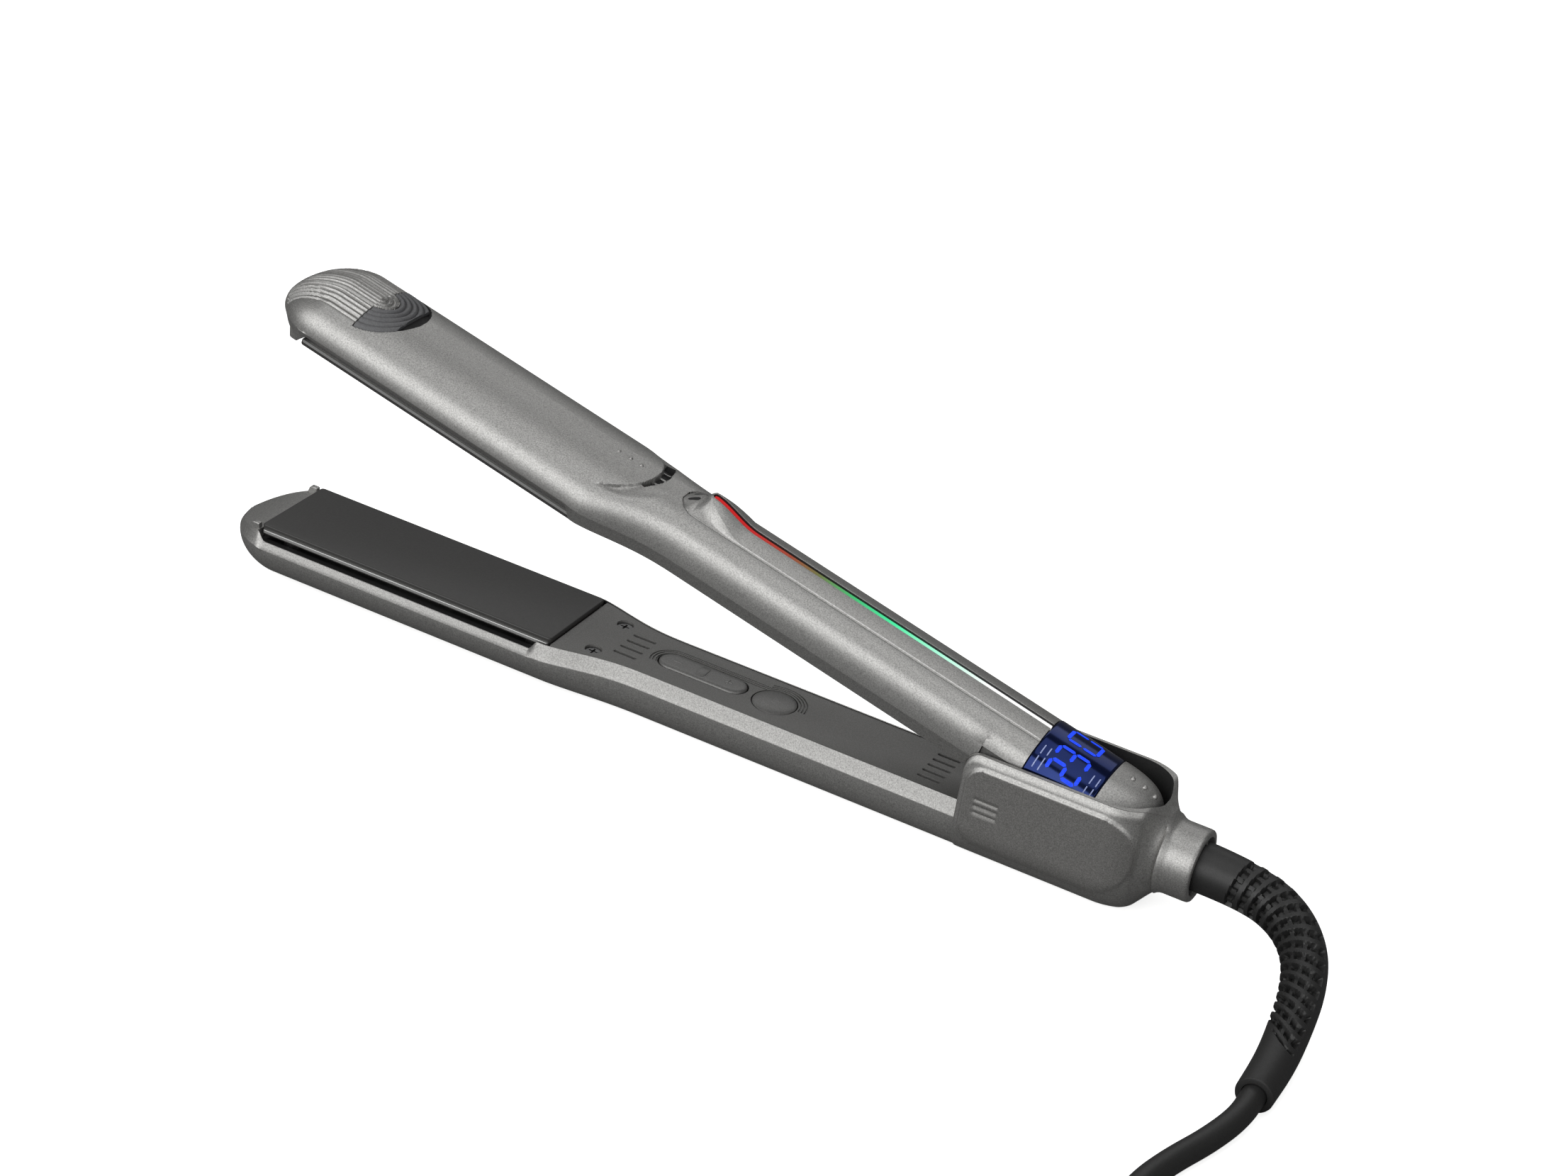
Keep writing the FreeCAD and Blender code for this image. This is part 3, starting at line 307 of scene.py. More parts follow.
CAD_LOOKS = (
    # The hinge block takes the darker panel moulding as painted shade of its recess.
    (PANEL_AND_KNUCKLE_SHADE, "lower_inner_panel upper_inner_panel hinge_block"),
    (BLACK, "lower_plate_carrier upper_plate_carrier"),
    (STEEL, "lower_float_springs upper_float_springs tact_switches housing_screws hinge_pin"),
    (STEEL, "return_spring"),
    (DARK_STEEL, "lower_panel_screws upper_panel_screws"),
    (CERAMIC, "lower_heater upper_heater"), (BOARD, "control_board display_module"),
    (LEADS, "lead_wires"), (PLUG, "plug_body"), (BRASS, "plug_pins"),
)
for look, names in CAD_LOOKS:
    for node_name in names.split():
        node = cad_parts[node_name]
        if not node.data.materials:
            node.data.materials.append(look)
        for material_slot in node.material_slots:
            material_slot.material = look


# ------------------------------------------------------------------ camera, light, floor
FLOOR_HALF, FLOOR_DROP, FLOOR_GLOW = 6.0, 0.0001, 0.72


def add_camera():
    """Long lens, set where it sees the iron as the photograph does."""
    data = bpy.data.cameras.new("camera")
    data.lens, data.sensor_width, data.sensor_fit = 79.0, 36.0, "HORIZONTAL"
    data.clip_start, data.clip_end = 0.01, 100.0
    camera = bpy.data.objects.new("camera", data)
    bpy.context.scene.collection.objects.link(camera)
    right, up = (0.87700, 0.45651, 0.14990), (-0.33796, 0.36432, 0.86780)
    back = (0.34155, -0.81171, 0.47378)
    aim = Matrix((right, up, back)).transposed().to_4x4()
    camera.matrix_world = Matrix.Translation((0.30857, -0.69403, 0.45215)) @ aim
    bpy.context.scene.camera = camera


def area_light(name, at, aim, size, power):
    data = bpy.data.lights.new(name, "AREA")
    data.shape, data.size, data.size_y = "RECTANGLE", size[0], size[1]
    data.energy = power
    light = bpy.data.objects.new(name, data)
    bpy.context.scene.collection.objects.link(light)
    light.location = at
    light.rotation_euler = (Vector(at) - Vector(aim)).to_track_quat("Z", "Y").to_euler()


def seen_tone(nodes, links, seen, hidden, socket):
    """Gives the socket a pale tone to the eye, and a dark one to the object's reflections."""
    path = nodes.new("ShaderNodeLightPath")
    mix = nodes.new("ShaderNodeMix")
    mix.data_type = "RGBA"
    mix.inputs["A"].default_value = (*hidden, 1)
    mix.inputs["B"].default_value = (*seen, 1)
    links.new(path.outputs["Is Camera Ray"], mix.inputs["Factor"])
    links.new(mix.outputs["Result"], socket)
    return path.outputs["Is Camera Ray"]


def floor_material():
    mat = bpy.data.materials.new("floor_pale")
    mat.use_nodes = True
    nodes, links = mat.node_tree.nodes, mat.node_tree.links
    shader = nodes["Principled BSDF"]
    eye = seen_tone(nodes, links, (0.93, 0.93, 0.925), (0.16, 0.16, 0.16), shader.inputs["Base Color"])
    lift = nodes.new("ShaderNodeMath")
    lift.operation = "MULTIPLY"
    lift.inputs[1].default_value = FLOOR_GLOW
    links.new(eye, lift.inputs[0])
    links.new(lift.outputs[0], shader.inputs["Emission Strength"])
    shader.inputs["Emission Color"].default_value = (1.0, 1.0, 0.995, 1)
    shader.inputs["Roughness"].default_value = 0.9
    shader.inputs["Specular IOR Level"].default_value = 0.1
    return mat


def add_floor():
    mesh = bpy.data.meshes.new("floor")
    s = FLOOR_HALF
    mesh.from_pydata([(-s, -s, 0), (s, -s, 0), (s, s, 0), (-s, s, 0)], [], [(0, 1, 2, 3)])
    mesh.materials.append(floor_material())
    floor = bpy.data.objects.new("floor", mesh)
    floor.location.z = -FLOOR_DROP
    bpy.context.scene.collection.objects.link(floor)


def add_world():
    world = bpy.data.worlds.new("studio")
    bpy.context.scene.world = world
    world.use_nodes = True
    tree = world.node_tree
    back = tree.nodes["Background"]
    seen_tone(tree.nodes, tree.links, (0.96, 0.96, 0.955), (0.13, 0.13, 0.13), back.inputs["Color"])
    back.inputs["Strength"].default_value = 1.0


add_camera()
add_floor()
add_world()
area_light("front_softbox", (-0.35, -1.15, 0.62), (0.02, 0, 0.03), (1.9, 1.05), 17.0)
area_light("back_softbox", (-0.5, 1.25, 1.15), (0, 0, 0.03), (1.8, 0.6), 4.0)
area_light("right_softbox", (1.25, -0.75, 0.5), (0.1, 0, 0.02), (1.1, 0.9), 5.0)
area_light("overhead", (0.15, -0.1, 1.7), (0, 0, 0.03), (1.6, 1.2), 8.0)
bpy.context.scene.view_settings.view_transform = "Standard"


# ------------------------------------------------------------------ arm casing shape
# Points of a ring on each edge and on the inside, and where the hollow starts.
EDGE, INNER, DECK_X1 = 9, 20, -0.5


def nose(x):
    """0 at the full width, 1 at the very front."""
    return min(max((NOSE_X - x) / NOSE_LEN, 0.0), 0.9995)


def half_width(x):
    """Narrows round the nose in front and along the neck behind the plates."""
    if x < NOSE_X:
        return HEAD_W * math.sqrt(1.0 - nose(x) ** 2)
    return HEAD_W + (HANDLE_W - HEAD_W) * neck(x)


def neck(x):
    """0 at the head, 1 at the handle."""
    t = min(max((x - 88.0) / 34.0, 0.0), 1.0)
    return 1.0 - (1.0 - smooth(t * 1.25)) * (1.0 - t)


def depth(x):
    """Height of the casing above its widest line."""
    return (ARM_H - WIDEST) * (1.0 - nose(x) ** 1.6) ** (1 / 1.6)


def power(x):
    """Squareness of the cross section."""
    return 2.25 + 0.65 * neck(x)


def lip_share(x):
    """0 where the rim is whole, 1 where it drops to the sloping lip beside the plate."""
    return smooth((x + 0.7) / 3.0) * smooth((86.3 - x) / 2.6)


def rim_corner(x):
    """Inner edge of the rim or lip."""
    b, w = half_width(x), lip_share(x)
    rim = RIM + (WIDEST - 0.4 - RIM) * nose(x) ** 1.7
    return lerp(b - min(BEVEL, b * 0.5), LIP_Y, w), lerp(rim, LIP, w)


def top_z(x, y):
    """Height of the casing's outer surface."""
    b, n = half_width(x), power(x)
    return min(WIDEST + depth(x) * max(1 - (abs(y) / b) ** n, 0.0) ** (1 / n), FLAT_TOP)


def nose_stations(count):
    return [NOSE_X - NOSE_LEN * math.sin(math.pi / 2 * (1 - i / count)) for i in range(count + 1)]


def edge_part(x, side, lip):
    """Rim and bevel, or the sloping lip beside the plate, from inside to the widest line."""
    y0, z0 = rim_corner(x)
    y1, z1 = lerp(half_width(x), 17.292, lip), lerp(WIDEST, 5.79, lip)
    flat = min(0.22, (y1 - y0) * 0.3)
    pts = [(y0, z0 + 0.12), (y0 + 0.03 * flat / 0.22, z0 + 0.03), (y0 + flat * 0.55, z0),
           (y0 + flat, z0 + 0.03)]
    pts += [(lerp(y0 + flat, y1, t), lerp(z0 + 0.03, z1, t)) for t in (0.06, 0.3, 0.6, 0.93)]
    pts.append((y1 - 0.005, z1 - 0.06))
    return [(side * y, z) for y, z in pts]


def belly_part(x, flank, top, lip):
    """From near to far over the outside: flank points by angle, then evenly across the top."""
    b, h, n = half_width(x), depth(x), power(x)
    y_top = min(6.3, b * 0.6)
    z_low = 9.75 if x > ARM_END_X else lerp(WIDEST, 5.9, lip)
    a_low = math.asin(min(((z_low - WIDEST) / h) ** (n / 2), 1.0))
    a_high = math.acos(min((y_top / b) ** (n / 2), 1.0))
    side = []
    for i in range(flank + 1):
        y, z = oval(b, h, n, lerp(a_low, a_high, i / flank))
        side.append((y, min(z, FLAT_TOP)))
    across = []
    for i in range(1, top):
        y = lerp(-y_top, y_top, i / top)
        across.append((y, min(WIDEST + h * (1 - (abs(y) / b) ** n) ** (1 / n), FLAT_TOP)))
    return [(-y, z) for y, z in side] + across + side[::-1]


def inner_part(x, hollow):
    """Back inside from far to near: over the nose deck, or round the hollow."""
    y0, z0 = rim_corner(x)
    if not hollow:
        return [(lerp(y0 - 0.05, -y0 + 0.05, i / (INNER - 1)), z0 + 0.12) for i in range(INNER)]
    deep = 8.5 if x < PLATE_L + 0.8 else 3.2
    wide = min(y0, half_width(x) - WALL - 0.1)
    pts = [(y0, z0 + 0.5), (y0, deep)]
    for i in range(INNER // 2 - 2):
        y, z = oval(wide, depth(x) - WALL, power(x), lerp(0.35, math.pi / 2, i / (INNER // 2 - 3)))
        pts.append((y, max(z, deep)))
    return pts + [(-y, z) for y, z in reversed(pts)]


def casing_row(x, flank, top):
    """Closed ring at x: the near edge, the belly, the far edge, the inside."""
    lip, hollow = lip_share(x), x > DECK_X1
    if x > ARM_END_X:
        outer = belly_part(x, flank, top, 0.0)
        near, far = [outer[0]] * EDGE, [outer[-1]] * EDGE
        last = INNER - 1
        inner = [(lerp(10.4, -10.4, i / last), 13.2 if 0 < i < last else 9.75) for i in range(INNER)]
        return near + outer + far + inner
    near = edge_part(x, -1, lip)
    far = list(reversed(edge_part(x, 1, lip)))
    return near + belly_part(x, flank, top, lip) + far + inner_part(x, hollow)


def casing_rows(stations, flank, top, displace=None):
    """Rings along the arm; displace moves an outer point along its normal."""
    rows = [[(x, y, z) for y, z in casing_row(x, flank, top)] for x in stations]
    if not displace:
        return rows
    first, last = EDGE, EDGE + 2 * (flank + 1) + top - 1
    moved = []
    for i, row in enumerate(rows):
        fresh = list(row)
        before, after = rows[max(i - 1, 0)], rows[min(i + 1, len(rows) - 1)]
        for j in range(first, last):
            amount = displace(*row[j])
            if amount == 0.0:
                continue
            along = Vector(after[j]) - Vector(before[j])
            across = Vector(row[min(j + 1, last - 1)]) - Vector(row[max(j - 1, first)])
            normal = along.cross(across)
            if normal.length < 1e-9:
                continue
            normal.normalize()
            if normal.z < 0 and row[j][0] > 0:
                normal.negate()
            if row[j][0] <= 0 and normal.dot(Vector((row[j][0] - 20, row[j][1], row[j][2] - 4))) < 0:
                normal.negate()
            fresh[j] = tuple(Vector(row[j]) + normal * amount)
        moved.append(fresh)
    return moved


def edge_stations():
    """Close together where the rim drops to the lip and where it comes back."""
    return [-0.51, -0.49] + steps(-0.7, 2.5, 0.27) + steps(83.5, 86.5, 0.25)


def lugs(shell):
    """Two small stops that stand on the deck in front of the plate."""
    outline = [(-4.0, 2.9), (-3.3, 0.75), (-3.0, 0.42), (-2.7, 0.32), (-1.2, 0.32), (-0.95, 0.42),
               (-0.55, 2.9)]
    for side in (-1, 1):
        y0, y1, edge = side * 12.7, side * 14.3, side * 0.15
        shell.loft([[(lerp(x, -2.2, t), y, z + dz) for x, z in outline] for y, t, dz in
                    ((y0, 0.14, 0.15), (y0 + edge, 0.0, 0.0), (y1 - edge, 0.0, 0.0), (y1, 0.14, 0.15))])


# ------------------------------------------------------------------ lower casing
def lower_casing():
    shell = Shell()
    stations = nose_stations(26) + edge_stations()
    stations += steps(4.0, 83.0, 5.0) + steps(87.0, 122.0, 1.2) + steps(124.0, ARM_END_X, 8.0)
    stations = sorted(set(stations))
    rows = casing_rows(stations, 26, 14)
    inside = len(rows[0]) - INNER

    # The inside of the hollow is painted shade, near black.
    def look(i, j):
        return 1 if j >= inside - 1 and stations[i] > DECK_X1 else 0

    shell.loft(rows, look)
    lugs(shell)
    return finish_piece("lower_casing_shell", shell, "lower", "lower_arm", [PAINT, PAINTED_SHADE],
                        ["lower_casing"])


# ------------------------------------------------------------------ upper casing
def rib_field(x, y, z):
    """Height of the ribs on the tip: lines from the nose that close in a U."""
    d = abs(y) if x < TIP_X else math.hypot(x - TIP_X, y)
    inside = min(1.0, (RIBS_R - d) / 0.5, (z - 6.6) / 0.8)
    if d > 4.75:
        inside = min(inside, (11.9 - x) / 0.25)
    if inside <= 0:
        return 0.0
    wave = 0.5 + 0.5 * math.cos(2 * math.pi * d / RIB_PITCH)
    return min(inside, 1.0) * (0.66 * wave ** 1.5 - 0.67)


def plateau_edge(y):
    """Rounded rear end of the raised part of the head."""
    flat = max(1 - min(abs(y) / PLATEAU_W, 1.0) ** PLATEAU_N, 0.0)
    return PLATEAU_X0 + PLATEAU_LEN * flat ** (1 / PLATEAU_N)


def neck_field(x, y):
    """The neck sinks behind the raised end of the head, and has a vent close behind it."""
    edge = plateau_edge(y)
    if x < edge:
        return 0.0
    fade = smooth((14.3 - abs(y)) / 3.0)
    gap = x - edge
    sink = -0.75 * fade * smooth(gap / 0.3) * (1 - smooth((gap - 0.8) / 6.0))
    return sink + vent_depth(x, y)


def vent_depth(x, y):
    """Opening behind the raised end, with bars across it."""
    gap, rear = x - plateau_edge(y), VENT_X1 - 0.035 * (y - 2.5) ** 2
    if abs(y - 1.5) > 7.5 or gap < 0.2 or x > rear:
        return 0.0
    wall = min(1.0, (rear - x) / 0.3, (gap - 0.1) / 0.3)
    bar = min(abs(y - middle) for middle in BARS_Y)
    return wall * (-BARS_DEEP if bar < 0.5 else -VENT_DEEP)


def tip_recess(x, y):
    """Depth of the pocket that holds the silicone pad."""
    r = math.hypot(x - TIP_X, y)
    if x < 11.95 or r > GRIP_R or r < 4.85:
        return 0.0
    return -1.25 * min(1.0, (GRIP_R - r) / 0.25, (r - NOTCH_R) / 0.25, (x - 11.9) / 0.2)


def spine_distance(x, y):
    """Distance outside the spine cover's outline, negative inside."""
    return (math.hypot(x - SPINE_CX, y) if x < SPINE_CX else abs(y)) - SPINE_R


def upper_field(x, y, z):
    """How far the upper casing stands out from the plain casing shape."""
    amount = 0.0
    if x < 16.0:
        amount += rib_field(x, y, z)
    if 11.0 < x < 25.0:
        amount += tip_recess(x, y)
    if 78.0 < x < 112.0:
        amount += neck_field(x, y)
    if x > 106.0 and z > 12 and spine_distance(x, y) < -0.1:
        amount = -1.9
    return amount


def upper_casing():
    shell = Shell()
    stations = nose_stations(60) + edge_stations() + steps(3.8, 26.0, 0.2)
    stations += steps(28.0, 76.0, 4.0) + steps(78.0, 114.0, 0.3)
    stations += steps(115.0, 123.0, 1.0) + steps(126.0, ARM_END_X - 0.02, 6.0)
    stations += [ARM_END_X + 0.02] + steps(206.0, DISPLAY_X0 - 0.1, 3.0)
    stations = sorted(set(stations))
    rows = casing_rows(stations, 58, 50, upper_field)
    inside = len(rows[0]) - INNER

    def look(i, j):
        """Painted shade: near black inside, in the pad's pocket and in the vent, and the darker pad paint
        in the troughs between the ribs.
        """
        x, y, z = rows[i][j]
        if j >= inside - 1:
            return 1 if stations[i] > DECK_X1 else 0
        if j >= EDGE and (tip_recess(x, y) < -0.5 or vent_depth(x, y) < -1.5):
            return 1
        return 2 if j >= EDGE and x < 12.5 and rib_field(x, y, z + 0.3) < -0.45 else 0

    shell.loft(rows, look)
    for x in (86.1, 89.7, 93.0):
        shell.dome(x, 16.3, 0.6, 0.5)
    lugs(shell)
    return finish_piece("upper_casing_shell", shell, "upper", "upper_arm", [PAINT, PAINTED_SHADE, PAD_PAINT_AND_RIB_SHADE],
                        ["upper_casing"], sharp=38.0)


def tip_insert():
    """Silicone pad of thick arcs between the notch and its straight rear edge."""
    shell = Shell()
    front, rear, arc_pitch = 12.1 - TIP_X, 21.5 - TIP_X, 1.64
    radii = steps(4.95, 13.1, 0.11)
    for side in (-1, 1):
        rows, under = [], []
        for r in radii:
            wide = math.acos(min(front / r, 1.0))
            narrow = 0.0 if r <= rear else math.acos(rear / r)
            wave = abs(math.sin(math.pi * (r - 4.9) / arc_pitch)) ** 0.55
            row = []
            for a in [lerp(narrow, wide, i / 32) for i in range(33)]:
                x, y = TIP_X + r * math.cos(a), side * r * math.sin(a)
                row.append((x, y, top_z(x, y) - 0.75 + 0.85 * wave))
            rows.append(row)
            under.append([(x, y, top_z(x, y) - 1.15) for x, y, z in row])
        shell.grid(rows)
        shell.grid([rows[0], under[0]])
        shell.grid([rows[-1], under[-1]])
        shell.grid([[row[-1] for row in rows], [row[-1] for row in under]])
        split = next(i for i, r in enumerate(radii) if r > rear) - 1
        shell.grid([[row[0] for row in rows[split:]], [row[0] for row in under[split:]]])
    return finish_piece("tip_grip_pad", shell, "upper", "upper_arm", [SILICONE],
                        ["tip_insert"], sharp=50.0)


# ------------------------------------------------------------------ spine and light guide
FACET_X0, FACET_X1 = 111.8, 126.5
CHANNEL_X0, CHANNEL_W = 113.5, 1.12
SEAM_Z, SEAM_IN, SEAM_OUT = 16.08, SPINE_R - 0.1, SPINE_R + 0.14


def ridge_height(x):
    """Height of the spine's middle line: a hump in front, then a long gentle fall."""
    if x < 114.0:
        return 16.6 + 4.3 * smooth((x - 109.0) / 5.0)
    if x < 128.0:
        return 18.1 + 2.8 * (1.0 - smooth((x - 114.0) / 14.0))
    return 18.1 - 0.5 * (x - 128.0) / (DISPLAY_X0 - 128.0)


def facet_edge(x):
    """Half width and height of the facets' lower edges."""
    t = min(max((x - FACET_X0) / (FACET_X1 - FACET_X0), 0.0), 1.0)
    y = 5.72 * math.sin(math.pi / 2 * t) ** 0.72
    return y, max(16.42, ridge_height(x) - 0.27 * y - 0.25 * smooth((x - 122.0) / 5.0))


def spine_outline(x, r=SPINE_R - 0.12):
    """Half width in plan: a half circle of radius r in front, then straight."""
    return r if x >= SPINE_CX else math.sqrt(max(r ** 2 - (SPINE_CX - x) ** 2, 0.0))


def tray_height(x):
    return SEAM_Z + 3.75 * min(max((x - 106.9) / 4.9, 0.0), 1.0) ** 1.15


def tray_point(x, y):
    """Height of the sloping front of the cover, under the slots."""
    share = max(1 - abs(y) / max(spine_outline(x) - 0.12, 0.05), 0.0)
    return lerp(SEAM_Z, tray_height(x), share ** tray_power(x))


def tray_power(x):
    return lerp(0.5, 1.7, smooth((x - 109.5) / 5.0))


def channel_half(x):
    """Half width of the light guide's channel, with a round front end."""
    t = min(max((x - CHANNEL_X0) / 1.2, 0.0), 1.0)
    return CHANNEL_W * math.sqrt(1 - (1 - t) ** 2)


def spine_half(x):
    """Half section from the outline to the ridge's middle, y >= 0."""
    w, ridge = spine_outline(x), ridge_height(x)
    pts = [(w, SEAM_Z - 0.9), (w, SEAM_Z - 0.12),
           (max(w - 0.04, 0), SEAM_Z - 0.03), (max(w - 0.12, 0), SEAM_Z)]
    y1, z1 = facet_edge(x)
    if x <= FACET_X0:
        y1, z1 = 0.0, tray_height(x)
    for s in steps(0.0, 1.0, 0.1)[1:]:
        pts.append((lerp(max(w - 0.12, 0), y1, s), lerp(SEAM_Z, z1, s ** tray_power(x))))
    c = channel_half(x) if x > CHANNEL_X0 else 0.0
    top = ridge if x > CHANNEL_X0 else max(z1, min(ridge, z1 + 0.9)) if x > FACET_X0 else z1
    y2 = min(y1, 1.6)
    for s in (0.04, 0.3, 0.6, 0.9, 1.0):
        pts.append((lerp(y1, y2, s), lerp(z1, top - 0.06, s) + 0.12 * math.sin(math.pi * s) * (y1 > 1.2)))
    pts += [(lerp(y2, c, 0.5), top - 0.015), (c + 0.06 if c else 0.0, top), (c, top - (0.05 if c else 0))]
    deep = 1.5 if c else 0.0
    pts += [(c, top - deep), (0.0, top - deep)]
    return pts


def seam_point(x, y, outer):
    """Bottom or top of the painted shade ribbon that stands for the gap round the cover."""
    return x, y, top_z(x, y) + neck_field(x, y) + 0.015 if outer else SEAM_Z - 0.25


def slot_rings(y):
    """Rounded slot on the sloping front, painted as near-black shade in rings that shrink to its middle.
    """
    rings = []
    for scale in (1.0, 0.66, 0.33, 0.0):
        ring = []
        for a in turn(24):
            px = 109.7 + scale * (1.5 * math.copysign(abs(math.cos(a)) ** 0.6, math.cos(a)))
            py = y + scale * 0.62 * math.sin(a)
            ring.append((px, py, tray_point(px, py) + 0.04))
        rings.append(ring)
    return rings


def spine_cover():
    shell = Shell()
    xs = [SPINE_X0 + 0.121] + [SPINE_X0 + 0.12 + SPINE_R * (1 - math.cos(math.pi / 2 * i / 26))
                               for i in range(1, 27)]
    xs += steps(CHANNEL_X0 + 0.02, CHANNEL_X0 + 1.2, 0.15) + steps(115.0, 130.0, 0.6)
    xs += steps(136.0, DISPLAY_X0 - 0.35, 9.0) + [DISPLAY_X0 - 0.15]
    xs = sorted(set(round(x, 4) for x in xs if x < DISPLAY_X0))
    rows = []
    for x in xs:
        half = spine_half(x)
        rows.append([(x, -y, z) for y, z in half] + [(x, y, z) for y, z in reversed(half[:-1])])
    middle = len(rows[0]) // 2

    def look(i, j):
        """The channel for the light guide is painted shade, near black."""
        return 1 if middle - 2 <= j < middle + 2 and xs[i] >= CHANNEL_X0 else 0

    shell.grid(rows, mat=look)
    shell.grid([rows[-1], [(x, y * 0.9, min(z, 14.5)) for x, y, z in rows[-1]]])
    # Near-black ribbons of painted shade along the seam, and round the front.
    for side in (-1, 1):
        ribbon = []
        for x in [max(x, SPINE_X0 + 0.1) for x in xs]:
            ribbon.append([seam_point(x, side * spine_outline(x, r), r == SEAM_OUT)
                           for r in (SEAM_IN, SEAM_OUT)])
        shell.grid(ribbon, mat=1)
    shell.grid([[seam_point(SPINE_CX - r * math.cos(a), r * math.sin(a), r == SEAM_OUT)
                 for a in [math.radians(lerp(-34, 34, i / 24)) for i in range(25)]]
                for r in (SEAM_IN, SEAM_OUT)], mat=1)
    for y in (-1.6, 1.6):
        shell.grid(slot_rings(y), closed=True, mat=1)
    return finish_piece("spine_cover_shell", shell, "upper", "upper_arm", [PAINT, PAINTED_SHADE],
                        ["spine_cover"], sharp=24.0)


def light_guide():
    shell = Shell()
    rows = []
    xs = [114.05, 114.25, 114.6, 115.0] + steps(115.6, 130.0, 0.8) + steps(136.0, 215.5, 10.0)
    for x in sorted(set(xs)):
        w = 0.7 * math.sqrt(min(1.0, (x - 113.9) / 0.7))
        top = ridge_height(x) - 0.3
        rows.append([(x, w * k, top + dz) for k, dz in ((-1, -0.8), (-1, -0.12), (-0.8, -0.02), (0, 0.03),
                                                        (0.8, -0.02), (1, -0.12), (1, -0.8))])
    shell.loft(rows)
    return finish_piece("light_guide_strip", shell, "upper", "upper_arm", [LED],
                        ["light_guide"])


# ------------------------------------------------------------------ display and end cap
def display_curve():
    """Outer line of the window, from near to far, as (distance from the top, y, z)."""
    pts = []
    a_low = math.asin((4.3 / REAR_H) ** (REAR_N / 2))
    for i in range(161):
        y, z = oval(REAR_W, REAR_H, REAR_N, lerp(a_low, math.pi - a_low, i / 160))
        pts.append((-y, z))
    along, total = [0.0], 0.0
    for p, q in zip(pts, pts[1:]):
        total += math.hypot(q[0] - p[0], q[1] - p[1])
        along.append(total)
    return [(total / 2 - s, y, z) for s, (y, z) in zip(along, pts)]


CURVE = display_curve()
PRINT_LIFT = 0.09


def on_window(s, lift=0.0):
    """Point on the window at distance s from its top line, towards the near side."""
    for (s0, y0, z0), (s1, y1, z1) in zip(CURVE, CURVE[1:]):
        if s0 >= s >= s1:
            t = (s0 - s) / (s0 - s1)
            y, z = lerp(y0, y1, t), lerp(z0, z1, t)
            out = Vector((0, -(z1 - z0), y1 - y0)).normalized()
            return y + out.y * lift, z + out.z * lift
    return CURVE[-1][1], CURVE[-1][2]


def segment(shell, x0, s0, x1, s1, half=0.5, gap=0.15, mat=0):
    """Pointed bar between two places on the window, bent to follow it."""
    dx, ds = x1 - x0, s1 - s0
    length = math.hypot(dx, ds)
    ux, us = dx / length, ds / length
    rows = []
    end = length - gap
    for t in [gap + 0.02, gap + half] + steps(gap + half, end - half, 0.3)[1:] + [end - 0.02]:
        w = min(half, t - gap, end - t)
        rows.append([(x0 + ux * t - us * w * k, *on_window(s0 + us * t + ux * w * k, PRINT_LIFT))
                     for k in (-1, -0.5, 0, 0.5, 1)])
    shell.grid(rows, mat=mat)


def display():
    """Window across the arm, with three lit digits and short light bars painted on as highlights of the
    ribs in the glass.
    """
    shell = Shell()
    rows = []
    for x, inset in ((DISPLAY_X0 + 0.06, 0.35), (DISPLAY_X0 + 0.14, 0.12), (DISPLAY_X0 + 0.35, 0.02),
                     (DISPLAY_X0 + 0.6, 0.0), (DISPLAY_X1 - 0.6, 0.0), (DISPLAY_X1 - 0.3, 0.02),
                     (DISPLAY_X1 - 0.1, 0.12), (DISPLAY_X1, 0.35)):
        outer = [(x, *on_window(place[0], -inset)) for place in CURVE]
        rows.append(outer + [(x, *on_window(place[0], -1.25)) for place in reversed(CURVE)])
    shell.loft(rows)
    top_x, mid_x, low_x = 220.45, 224.6, 228.75
    segments = {
        "a": ((top_x, 1), (top_x, 0)), "b": ((top_x, 0), (mid_x, 0)), "c": ((mid_x, 0), (low_x, 0)),
        "d": ((low_x, 1), (low_x, 0)), "e": ((mid_x, 1), (low_x, 1)), "f": ((top_x, 1), (mid_x, 1)),
        "g": ((mid_x, 1), (mid_x, 0)),
    }
    digits = Shell()
    for bars, far, width in (("abged", 8.6, 3.1), ("abgcd", 4.05, 3.2), ("abcdef", -4.5, 5.2)):
        for bar in bars:
            (x0, k0), (x1, k1) = segments[bar]
            segment(digits, x0, far + k0 * width, x1, far + k1 * width)
    # Painted highlights: short light bars where the ribs in the glass catch the light.
    for x, s0, s1 in ((217.5, 6.6, 9.4), (217.5, 9.9, 13.2), (219.1, 6.6, 9.0), (219.1, 9.6, 13.2),
                      (231.3, 6.4, 9.2), (231.3, 9.8, 12.4), (233.0, 6.4, 9.0), (233.0, 9.6, 12.6)):
        segment(digits, x, s0, x, s1, half=0.15, gap=0.0, mat=1)
    finish_piece("display_window_glass", shell, "upper", "upper_arm", [GLASS],
                 ["display_window"], sharp=40.0)
    finish_piece("display_digits", digits, "upper", "upper_arm", [DIGIT, RIB_HIGHLIGHT])


